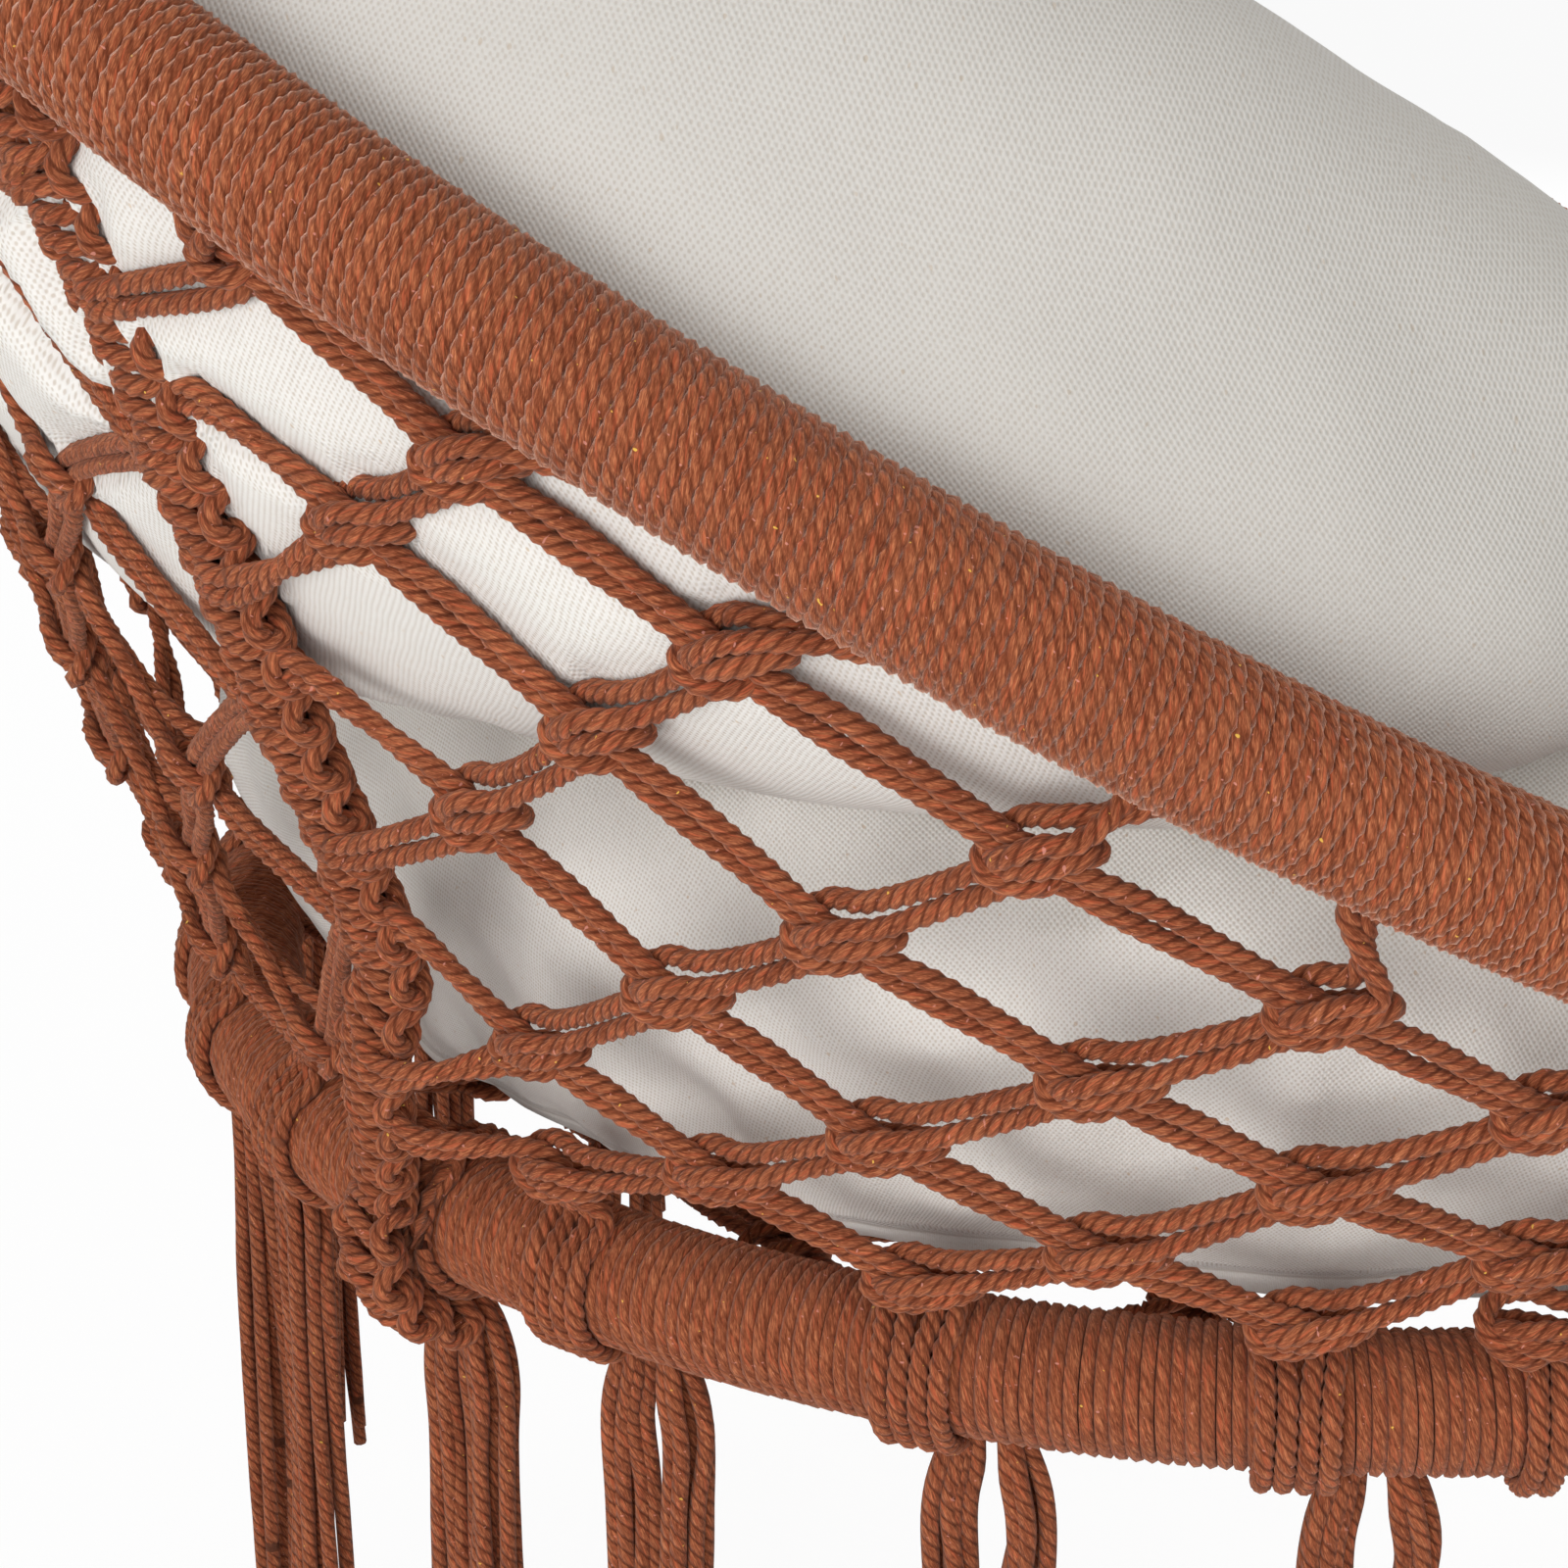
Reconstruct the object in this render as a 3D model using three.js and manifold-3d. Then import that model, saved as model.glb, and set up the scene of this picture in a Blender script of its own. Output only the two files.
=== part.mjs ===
// Hanging hammock chair: a large tilted hoop and a smaller level seat hoop, both bent from steel tube
// and wound with cotton cord, a knotted cord net between them, a net seat that carries two canvas
// cushions, and four braided ropes gathered under a steel ring.
// Millimetres, +Z up, the front towards -Y. The origin is the point of the ring that rests on a hook.

import * as THREE from "three";
import { mergeGeometries, mergeVertices } from "three/addons/utils/BufferGeometryUtils.js";
import Module from "manifold-3d";

// Driving dimensions

const rimRadius = 400; // centre line of the large hoop
const seatRadius = 300; // centre line of the seat hoop
const rimTilt = 29.5; // degrees, high at the back
const hangDrop = 880; // hook to the middle of the large hoop
const rimSetback = -14.6; // the large hoop's middle behind the hook, which balances the chair
const tubeDiameter = 24;
const tubeWall = 1.2;
const wrapDiameter = 32; // hoop with its winding
const wrapFit = 0.4; // tube to winding
const seamGap = 0.6; // between the ends of a tube, and between lengths of winding
const hoopGap = 0.8; // between the wound hoops where they are tied together at the front
const tieDirection = 45; // degrees forward of straight down, from the large hoop to the seat hoop there
const touchGap = 0.3; // soft pieces that lie against each other
const netBulge = 8; // how far the net bows out between the hoops
const pairWidth = 8.6; // two net cords side by side
const cordThickness = 4.4;
const knotWidth = 12.5;
const braidWidth = 24; // square-knot braids
const braidWaist = 19;
const braidThickness = 9;
const braidPitch = 12; // a half knot
const lashLength = 30; // winding that ties a braid to a hoop
const lashThickness = 4;
const lashFit = 1.2; // clears the bends of the hoop under the lashing
const ringInnerDiameter = 60;
const ringWire = 10;
const loopCord = 9; // bundled cord over the ring
const loopFit = 0.8;
const loopPitch = 9.4;
const crownDiameter = 44;
const crownLength = 64;
const crownBulge = 2;
const seatSag = 20; // the net seat's dip at its middle
const seatPitch = 48.5; // half a diagonal of the seat's meshes
const cushionTop = 47; // crown of the seat cushion below the large hoop's middle
const seatCushionHeight = 189;
const wallClearance = 6; // cushion to the middle of the net's cords
const hoopClearance = 21; // cushion to a hoop's centre line
const hoopReach = 24; // height over which the cushion draws in past a hoop
const backCushionThickness = 104;
const backCushionFoot = 92; // underside below the large hoop's middle
const backCushionRise = 350;
const wingHeight = 66; // the back cushion's two ends, along the sides
const tasselLength = 210;
const tasselNeck = 15;
const tasselWidth = 30;
const seatNetMargin = 12; // smallest reach of a seat knot inside the hoop
const frontTieLength = 36;
const frontTieFit = 1.7;
const frontTieThickness = 4;

// Counts and places round the hoops, as degrees from the left side towards the back

const gridDegrees = 9;
const backBraid = 27;
const backBraidSpread = 9; // further round on the seat hoop
const frontBraid = -54;
const frontBraidSpread = 9;
const frontMiddle = -90;
const backMiddle = 90;
const tubeSides = 10;
const backColumns = 18;
const backRows = 9;
const loopCount = 3;
const mitreShare = 0.7; // sharpest turn whose corner is drawn in full
const narrowShare = 0.6; // the same between two cords that leave a knot side by side
const radiansPerDegree = Math.PI / 180;

const colours = {
  steel: new THREE.MeshStandardMaterial({ color: 0xb9bcc0, roughness: 0.3, metalness: 1 }),
  tube: new THREE.MeshStandardMaterial({ color: 0x3a3a3c, roughness: 0.5, metalness: 0.6 }),
  cord: new THREE.MeshStandardMaterial({ color: 0xa45433, roughness: 0.95, metalness: 0 }),
  wound: new THREE.MeshStandardMaterial({ color: 0x99492b, roughness: 0.95, metalness: 0 }),
  canvas: new THREE.MeshStandardMaterial({ color: 0xe3ddd2, roughness: 0.9, metalness: 0 }),
};

const chair = new THREE.Group();

function add(name, geometry, material) {
  const mesh = new THREE.Mesh(geometry, material);
  mesh.name = name;
  chair.add(mesh);
  return mesh;
}

// Hoops, and the net's surface between them

const tilt = rimTilt * radiansPerDegree;
const rimMiddle = new THREE.Vector3(0, rimSetback, -hangDrop);
const hoopOffset = wrapDiameter + hoopGap;
const tieAngle = tieDirection * radiansPerDegree;
const seatMiddle = new THREE.Vector3(
  0,
  rimSetback - rimRadius * Math.cos(tilt) - hoopOffset * Math.sin(tieAngle) + seatRadius,
  -hangDrop - rimRadius * Math.sin(tilt) - hoopOffset * Math.cos(tieAngle),
);

function outward(degrees) {
  const angle = degrees * radiansPerDegree;
  return new THREE.Vector3(-Math.cos(angle), Math.sin(angle), 0);
}

function onRim(degrees) {
  const angle = degrees * radiansPerDegree;
  return new THREE.Vector3(
    -rimRadius * Math.cos(angle),
    rimRadius * Math.sin(angle) * Math.cos(tilt),
    rimRadius * Math.sin(angle) * Math.sin(tilt),
  ).add(rimMiddle);
}

function onSeatHoop(degrees) {
  return outward(degrees).multiplyScalar(seatRadius).add(seatMiddle);
}

// The hoops are drawn as straight lengths, and the cords follow those lengths
function onChords(hoop, degrees) {
  const step = Math.floor(degrees / gridDegrees);
  const share = degrees / gridDegrees - step;
  return hoop(step * gridDegrees).lerp(hoop((step + 1) * gridDegrees), share);
}

// A place on the net: degrees round, and the share of the way down from the large hoop
function onNet(degrees, share) {
  const bow = netBulge * 4 * share * (1 - share);
  const top = onChords(onRim, degrees);
  return top.lerp(onChords(onSeatHoop, degrees), share).addScaledVector(outward(degrees), bow);
}

const turnProbe = gridDegrees / 2;
const shareProbe = 0.01;

function netNormal(degrees, share) {
  const down = onNet(degrees, share + shareProbe).sub(onNet(degrees, share - shareProbe));
  const round = onNet(degrees + turnProbe, share).sub(onNet(degrees - turnProbe, share));
  return round.cross(down).normalize();
}

// Where a cord that comes from a point ends beside a hoop, and the hoop's direction there
function landing(hoop, degrees, from, clear) {
  const middle = onChords(hoop, degrees);
  const ahead = onChords(hoop, degrees + turnProbe);
  const along = ahead.sub(onChords(hoop, degrees - turnProbe)).normalize();
  const across = from.clone().sub(middle).projectOnPlane(along).normalize();
  const normal = across.clone().cross(along);
  if (normal.dot(outward(degrees)) < 0) normal.negate();
  return { place: middle.addScaledVector(across, clear), normal, along };
}

const cordEnd = wrapDiameter / 2 + touchGap; // middle of a hoop to the end of a cord
const cordTurn = cordEnd + pairWidth / 2 / mitreShare; // and to the middle of a cord that turns back

function rimSpot(degrees, clear) {
  return landing(onRim, degrees, onNet(degrees, 0.5), clear);
}

function seatSpot(degrees, clear) {
  return landing(onSeatHoop, degrees, onNet(degrees, 0.5), clear);
}

function seatDegreesOf(place) {
  return Math.atan2(place.y - seatMiddle.y, seatMiddle.x - place.x) / radiansPerDegree;
}

// Tube along an arc of a hoop

class HoopArc extends THREE.Curve {
  constructor(place, start, end) {
    super();
    Object.assign(this, { place, start, end });
  }
  getPoint(share, target = new THREE.Vector3()) {
    return target.copy(this.place(this.start + (this.end - this.start) * share));
  }
}

function ringShape(outerRadius, innerRadius) {
  const corner = (radius) => (_, i) => {
    const angle = (2 * Math.PI * i) / tubeSides;
    return new THREE.Vector2(radius * Math.cos(angle), radius * Math.sin(angle));
  };
  const shape = new THREE.Shape(Array.from({ length: tubeSides }, corner(outerRadius)));
  shape.holes.push(new THREE.Path(Array.from({ length: tubeSides }, corner(innerRadius)).reverse()));
  return shape;
}

function sleeve(place, start, end, steps, outerRadius, innerRadius) {
  const extrudePath = new HoopArc(place, start, end);
  return new THREE.ExtrudeGeometry(ringShape(outerRadius, innerRadius), { steps, extrudePath });
}

function addHoop(name, place, radius, rearBraid, foreBraid) {
  const gap = seamGap / radius / radiansPerDegree / 2;
  const turn = 360;
  const steps = turn / gridDegrees;
  const tube = sleeve(
    place, frontMiddle + gap, frontMiddle + turn - gap, steps,
    tubeDiameter / 2, tubeDiameter / 2 - tubeWall,
  );
  add(name + "_tube", tube, colours.tube);
  const stops = [rearBraid, 180 - rearBraid, 180 - foreBraid, turn + foreBraid, turn + rearBraid];
  ["back", "right", "front", "left"].forEach((side, i) => {
    const count = (stops[i + 1] - stops[i]) / gridDegrees;
    const winding = sleeve(
      place, stops[i] + gap, stops[i + 1] - gap, count, wrapDiameter / 2, windingInner,
    );
    add(name + "_winding_" + side, winding, colours.wound);
  });
}

// Knotted cords: each link is a flat bar from knot to knot, and the bars share their corners at a
// knot, so that a whole panel is one closed surface.

class Net {
  constructor(width, thickness, knot) {
    Object.assign(this, { width, thickness, knot, knots: [], links: [] });
  }
  knotAt({ place, normal, along }, wide = 1) {
    this.knots.push({ place, normal, along, wide, arms: [] });
    return this.knots.length - 1;
  }
  link(a, b) {
    this.links.push([a, b]);
    this.knots[a].arms.push(b);
    this.knots[b].arms.push(a);
  }
  geometry() {
    const positions = [];
    const faces = [];
    this.knots.forEach((knot) => this.setCorners(knot, positions));
    this.knots.forEach((knot) => {
      const last = knot.corners.length - 1;
      for (let i = 1; knot.arms.length > 2 && i < last; i++) {
        const [a, b, c] = [knot.corners[0], knot.corners[i], knot.corners[i + 1]];
        faces.push(a, b, c, a + 1, c + 1, b + 1);
      }
    });
    const quad = (a, b, c, d) => faces.push(a, b, c, a, c, d);
    this.links.forEach(([a, b]) => {
      const [leftA, rightA] = this.sidesOf(a, b);
      const [leftB, rightB] = this.sidesOf(b, a);
      quad(rightA, leftB, rightB, leftA);
      quad(rightA + 1, leftA + 1, rightB + 1, leftB + 1);
      quad(rightA + 1, leftB + 1, leftB, rightA);
      quad(leftA, rightB, rightB + 1, leftA + 1);
      if (this.knots[a].arms.length === 1) quad(leftA, leftA + 1, rightA + 1, rightA);
      if (this.knots[b].arms.length === 1) quad(leftB, leftB + 1, rightB + 1, rightB);
    });
    const geometry = new THREE.BufferGeometry();
    geometry.setAttribute("position", new THREE.Float32BufferAttribute(positions, 3));
    geometry.setIndex(faces);
    return geometry;
  }
  // Corners lie between neighbouring arms, the outer one first and the inner one after it. A cord
  // that ends beside a hoop or a braid is cut along it.
  setCorners(knot, positions) {
    const flat = (vector) => vector.clone().projectOnPlane(knot.normal).normalize();
    const armOf = (b) => flat(this.knots[b].place.clone().sub(knot.place));
    const east = armOf(knot.arms[0]);
    const north = knot.normal.clone().cross(east);
    const bearing = (side) => Math.atan2(side.dot(north), side.dot(east));
    const half = (knot.arms.length > 2 ? this.knot : this.width * knot.wide) / 2;
    const corner = (angle, reach) => {
      const side = east.clone().multiplyScalar(Math.cos(angle)).addScaledVector(north, Math.sin(angle));
      const centre = knot.place.clone().addScaledVector(side, reach);
      [1, -1].forEach((face) => {
        const point = centre.clone().addScaledVector(knot.normal, (face * this.thickness) / 2);
        positions.push(point.x, point.y, point.z);
      });
      return positions.length / 3 - 2;
    };
    if (knot.arms.length === 1) {
      const cut = knot.along ? bearing(flat(knot.along)) : Math.PI / 2;
      const left = (cut + 2 * Math.PI) % Math.PI;
      const reach = half / Math.max(Math.sin(left), mitreShare / 2);
      knot.corners = [corner(left, reach), corner(left + Math.PI, reach)];
      return;
    }
    const bearings = new Map(knot.arms.map((arm) => [arm, bearing(armOf(arm))]));
    knot.arms.sort((a, b) => bearings.get(a) - bearings.get(b));
    knot.corners = knot.arms.map((arm, i) => {
      const next = knot.arms[(i + 1) % knot.arms.length];
      const spread = (bearings.get(next) - bearings.get(arm) + 2 * Math.PI) % (2 * Math.PI);
      const sine = Math.sin(spread / 2);
      const crossing = spread < Math.PI ? (this.width * knot.wide) / 2 / Math.max(sine, narrowShare) : 0;
      const reach = Math.max(half / Math.max(sine, mitreShare), crossing);
      return corner(bearings.get(arm) + spread / 2, reach);
    });
  }
  // Left and right corners of the arm that leaves knot a for knot b
  sidesOf(a, b) {
    const { arms, corners } = this.knots[a];
    const i = arms.indexOf(b);
    if (arms.length === 1) return corners;
    return [corners[i], corners[(i + arms.length - 1) % arms.length]];
  }
}

// A field is a net laid out by row and column. Its knots go to panels, and a link from one panel
// to the next stops just short of the next panel's knot.

class Field {
  constructor(panelOf) {
    Object.assign(this, { panelOf, spots: new Map(), joins: [] });
  }
  knot(key, spot) {
    if (!this.spots.has(key)) this.spots.set(key, spot);
    return key;
  }
  join(a, b) {
    this.joins.push([a, b]);
  }
  panels(count) {
    const nets = Array.from({ length: count }, () => new Net(pairWidth, cordThickness, knotWidth));
    this.spots.forEach((spot, key) => {
      spot.panel = this.panelOf(key);
      spot.index = nets[spot.panel].knotAt(spot);
    });
    this.joins.forEach(([a, b]) => {
      const [from, to] = [this.spots.get(a), this.spots.get(b)];
      if (from.panel === to.panel) {
        nets[from.panel].link(from.index, to.index);
        return;
      }
      const setback = (this.setback(b, a) + touchGap) / from.place.distanceTo(to.place);
      const place = to.place.clone().lerp(from.place, setback);
      const normal = to.normal.clone().lerp(from.normal, setback).normalize();
      nets[from.panel].link(from.index, nets[from.panel].knotAt({ place, normal }));
    });
    return nets.map((net) => net.geometry());
  }
  // How far from knot b a square end must stop to miss the cords that stay there
  setback(b, a) {
    const middle = this.spots.get(b);
    const directionTo = (spot) => spot.place.clone().sub(middle.place).normalize();
    const toward = directionTo(this.spots.get(a));
    const angles = this.joins.filter((join) => join.includes(b) && !join.includes(a))
      .filter((join) => this.spots.get(join[0]).panel === middle.panel)
      .map((join) => this.spots.get(join[0] === b ? join[1] : join[0]))
      .map((other) => directionTo(other).angleTo(toward));
    const least = Math.min(...angles, Math.PI / 2);
    return (knotWidth / 2 + (pairWidth / 2) * Math.cos(least)) / Math.sin(least);
  }
}

// Braids: flat square-knot braids, with a waist at every other half knot. One runs from hoop to
// hoop where each rope is tied.

const flatShare = Math.cos(Math.PI / tubeSides); // a polygon's flat against its corners
const windingInner = (tubeDiameter / 2 + wrapFit) / flatShare;
const lashInner = (wrapDiameter / 2 + lashFit) / flatShare;
const lashOuter = lashInner + lashThickness;

function knotCount(length, pitch) {
  return 2 * Math.max(1, Math.round(length / pitch / 2));
}

function braidGeometry(spotAt, length, pitch, narrow = 1) {
  const net = new Net(braidWidth, braidThickness, knotWidth);
  const count = knotCount(length, pitch);
  let before = -1;
  for (let i = 0; i <= count; i++) {
    const share = i / count;
    const taper = 1 - (1 - narrow) * share ** 4;
    const knot = net.knotAt(spotAt(share), (i % 2 ? 1 : braidWaist / braidWidth) * taper);
    if (before >= 0) net.link(before, knot);
    before = knot;
  }
  return net.geometry();
}

class Braid {
  constructor(rimDegrees, seatDegrees) {
    const middle = onNet((rimDegrees + seatDegrees) / 2, 0.5);
    this.top = landing(onRim, rimDegrees, middle, lashOuter + touchGap);
    this.foot = landing(onSeatHoop, seatDegrees, middle, lashOuter + touchGap);
    this.out = outward((rimDegrees + seatDegrees) / 2);
    this.length = this.top.place.distanceTo(this.foot.place);
    this.line = this.foot.place.clone().sub(this.top.place).normalize();
  }
  spot(share) {
    if (share === 0) return this.top;
    if (share === 1) return this.foot;
    const place = this.top.place.clone().lerp(this.foot.place, share);
    place.addScaledVector(this.out, netBulge * 4 * share * (1 - share));
    const normal = this.top.normal.clone().lerp(this.foot.normal, share).projectOnPlane(this.line);
    return { place, normal: normal.normalize(), along: this.line };
  }
  // Where a cord ends, or with a reach turns back, beside the braid: turn is 1 towards the back
  edge(share, turn, reach = 0) {
    const spot = this.spot(share);
    const side = this.line.clone().cross(spot.normal);
    const half = (reach ? this.widthAt(share) : braidWidth) / 2;
    const place = spot.place.clone().addScaledVector(side, turn * (half + touchGap + reach));
    return { ...spot, place };
  }
  widthAt(share) {
    const knots = (share * knotCount(this.length, braidPitch)) % 2;
    return THREE.MathUtils.lerp(braidWidth, braidWaist, Math.abs(knots - 1));
  }
  geometry() {
    return braidGeometry((share) => this.spot(share), this.length, braidPitch);
  }
}

// Net at a side, from the back braid to the front braid. Column k counts forward along the large
// hoop, and row b counts down from it. Most of the knots are set by hand where the net is pulled
// out of its even spacing, as degrees and share of the way down.

const handSpots = {
  "0,0": [18.4, 0.095], "1,0": [11.4, 0.16], "2,0": [3.9, 0.211], "3,0": [-4.5, 0.278],
  "4,0": [-12.8, 0.345], "5,0": [-19.6, 0.417], "1,1": [18.2, 0.293], "2,1": [11.2, 0.373],
  "3,1": [4.7, 0.483], "4,1": [-2.8, 0.562], "5,1": [-9.5, 0.638], "6,1": [-16.6, 0.703],
  "2,2": [19, 0.525], "3,2": [13.5, 0.63], "4,2": [7.3, 0.725], "5,2": [0.3, 0.806],
  "6,2": [-6.4, 0.874], "3,3": [22.8, 0.761], "4,3": [16.3, 0.832], "5,3": [9.6, 0.926],
  "4,4": [26.2, 0.9], "8,0": [-40.5, 0.62],
};
const evenDegrees = { start: 18.6, column: -7.8, row: 7.3, both: 0.56 };
const evenShares = { start: 0.065, column: 0.079, row: 0.154, both: 0.008, curve: -0.0012 };
const sideColumns = 8;
const sideRows = 4;
const sideSplit = 4; // last column of the rear panel
const tieReach = 20; // a knot nearer to the seat hoop than this is tied to it
const lastTie = 6; // degrees from the front braid
const enterShares = [0.2, 0.42, 0.66, 0.88]; // down the back braid, where columns run into it
const leaveShares = [0, 0.28, 0.5, 0.74, 0.95]; // and where rows leave it
const frontShare = 0.5;

function sideKnot(k, b) {
  const set = handSpots[[k, b]];
  if (set) return set;
  const grid = (even) => even.start + even.column * k + even.row * b + even.both * k * b;
  return [grid(evenDegrees), grid(evenShares) + evenShares.curve * k * k];
}

const backBraidLine = new Braid(backBraid, backBraid + backBraidSpread);
const frontBraidLine = new Braid(frontBraid, frontBraid + frontBraidSpread);

function sideNets() {
  const field = new Field((key) => (Number(key.split(",")[0]) > sideSplit ? 1 : 0));
  const rows = {};
  for (let k = 0; k <= sideColumns; k++)
    for (let b = 0; b <= Math.min(k, sideRows); b++) {
      const [above, before] = [rows[[k, b - 1]], rows[[k - 1, b]]];
      if (b > 0 && (!above || above.tied)) continue;
      const [degrees, share] = sideKnot(k, b);
      const place = onNet(degrees, share);
      const foot = seatSpot(seatDegreesOf(place), cordEnd);
      const room = foot.place.distanceTo(place);
      const lands = share > 1 - shareProbe || room < knotWidth / 2;
      const tied = lands || room < tieReach;
      const meets = before && !before.tied;
      let spot = { place, normal: netNormal(degrees, share) };
      if (tied && room < knotWidth) spot = seatSpot(seatDegreesOf(place), cordEnd + knotWidth);
      const ends = lands && !meets && k !== b;
      const key = field.knot([k, b].join(), ends ? foot : spot);
      rows[[k, b]] = { tied, key };
      if (b > 0) field.join(above.key, key);
      if (meets) field.join(before.key, key);
      if (tied && !ends) field.join(key, field.knot([k, b, "foot"].join(), foot));
      if (b === 0) {
        const tie = k ? Math.max(sideKnot(k + 1, 0)[0], frontBraid + lastTie) : degrees;
        field.join(key, field.knot([k, "top"].join(), rimSpot(tie, cordEnd)));
      }
      if (k === b && b > 0)
        field.join(key, field.knot([k, "leave"].join(), backBraidLine.edge(leaveShares[b], -1)));
      if (k === b && b < enterShares.length)
        field.join(key, field.knot([k, "enter"].join(), backBraidLine.edge(enterShares[k], -1)));
      if (k === sideColumns && b === 0)
        field.join(key, field.knot([k, "front"].join(), frontBraidLine.edge(frontShare, 1)));
    }
  return field.panels(2);
}

// Net at the back, an even diamond net between the two back braids

const backPanels = 4;

function backNets() {
  const perPanel = backColumns / backPanels;
  const field = new Field((key) => {
    return Math.min(backPanels - 1, Math.floor(Number(key.split(",")[0]) / perPanel));
  });
  const mirrorSpot = (spot) => {
    ["place", "normal", "along"].forEach((name) => {
      if (spot[name]) spot[name] = spot[name].clone().setX(-spot[name].x);
    });
    return spot;
  };
  const at = (i, j) => {
    const share = j / backRows;
    const start = backBraid + backBraidSpread * share;
    const degrees = start + ((180 - 2 * start) * i) / backColumns;
    const reach = cordTurn - cordEnd;
    let spot = { place: onNet(degrees, share), normal: netNormal(degrees, share) };
    if (j === 0) spot = rimSpot(degrees, cordTurn);
    if (j === backRows) spot = seatSpot(degrees, cordTurn);
    if (i === 0) spot = backBraidLine.edge(share, 1, reach);
    if (i === backColumns) spot = mirrorSpot(backBraidLine.edge(share, 1, reach));
    return field.knot([i, j].join(), spot);
  };
  const within = (i, j) => i >= 0 && i <= backColumns && !(j === backRows && i % backColumns === 0);
  for (let j = 0; j < backRows; j++)
    for (let i = (j + 1) % 2; i <= backColumns; i += 2)
      [i - 1, i + 1].forEach((next) => {
        if (within(next, j + 1)) field.join(at(i, j), at(next, j + 1));
      });
  return field.panels(backPanels);
}

// Seat net across the seat hoop, dipped at its middle

function seatNet() {
  const net = new Net(pairWidth, cordThickness, knotWidth);
  const normal = new THREE.Vector3(0, 0, 1);
  const edge = seatRadius - cordEnd;
  const count = Math.ceil(seatRadius / seatPitch);
  const spotAt = (x, y) => {
    const drop = Math.max(0, seatSag * (1 - (x * x + y * y) / (edge * edge)));
    return { place: new THREE.Vector3(x, y, -drop).add(seatMiddle), normal };
  };
  const ids = {};
  for (let i = -count; i <= count; i++)
    for (let j = -count; j <= count; j++) {
      const [x, y] = [i * seatPitch, j * seatPitch];
      if ((i + j) % 2 && Math.hypot(x, y) < edge - seatNetMargin) ids[[i, j]] = net.knotAt(spotAt(x, y));
    }
  Object.keys(ids).forEach((key) => {
    const [i, j] = key.split(",").map(Number);
    [[1, 1], [1, -1], [-1, 1], [-1, -1]].forEach(([di, dj]) => {
      const next = ids[[i + di, j + dj]];
      if (next !== undefined) {
        if (di > 0) net.link(ids[key], next);
        return;
      }
      const from = new THREE.Vector2(i, j).multiplyScalar(seatPitch);
      const along = new THREE.Vector2(di, dj).normalize();
      const inward = from.dot(along);
      const reach = Math.sqrt(edge * edge - from.lengthSq() + inward * inward) - inward;
      const hit = from.addScaledVector(along, reach);
      const degrees = Math.atan2(hit.y, -hit.x) / radiansPerDegree;
      const clear = lashed(degrees) ? cordEnd + lashOuter - wrapDiameter / 2 : cordEnd;
      net.link(ids[key], net.knotAt({ ...landing(onSeatHoop, degrees, seatMiddle, clear), normal }));
    });
  });
  return net.geometry();
}

// Whether a place round the seat hoop has a lashing over it
function lashed(degrees) {
  const reach = (lashLength + knotWidth) / 2 / seatRadius / radiansPerDegree;
  const [rear, fore] = [backBraid + backBraidSpread, frontBraid + frontBraidSpread];
  const middles = [rear, 180 - rear, fore, -180 - fore];
  return middles.some((middle) => Math.abs(degrees - middle) < reach);
}

// Ring, crown and ropes

const ringInner = ringInnerDiameter / 2;
const wireLow = -(2 * ringInner + ringWire / 2); // middle of the ring's wire at its lowest
const crownTop = wireLow - ringWire / 2 - loopFit - loopCord;
const crownFoot = crownTop - crownLength;

function addRing() {
  const ring = new THREE.TorusGeometry(ringInner + ringWire / 2, ringWire / 2, tubeSides, 32);
  ring.rotateX(Math.PI / 2);
  ring.translate(0, 0, -ringInner);
  add("hanging_ring", ring, colours.steel);
}

const wasm = await Module();
wasm.setup();

function solid(geometry) {
  const bare = geometry.clone();
  ["normal", "uv"].forEach((name) => bare.deleteAttribute(name));
  const merged = mergeVertices(bare, 1e-4);
  return new wasm.Manifold(new wasm.Mesh({
    numProp: 3,
    vertProperties: merged.attributes.position.array,
    triVerts: new Uint32Array(merged.index.array),
  }));
}

function joined(geometries) {
  const mesh = geometries.map(solid).reduce((all, next) => all.add(next)).getMesh();
  const geometry = new THREE.BufferGeometry();
  geometry.setAttribute("position", new THREE.BufferAttribute(mesh.vertProperties, mesh.numProp));
  geometry.setIndex(new THREE.BufferAttribute(mesh.triVerts, 1));
  return geometry;
}

// Loops over the ring's wire, and the winding that gathers the ropes below it

const edgeShare = 0.08; // the winding's rounded ends

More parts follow.
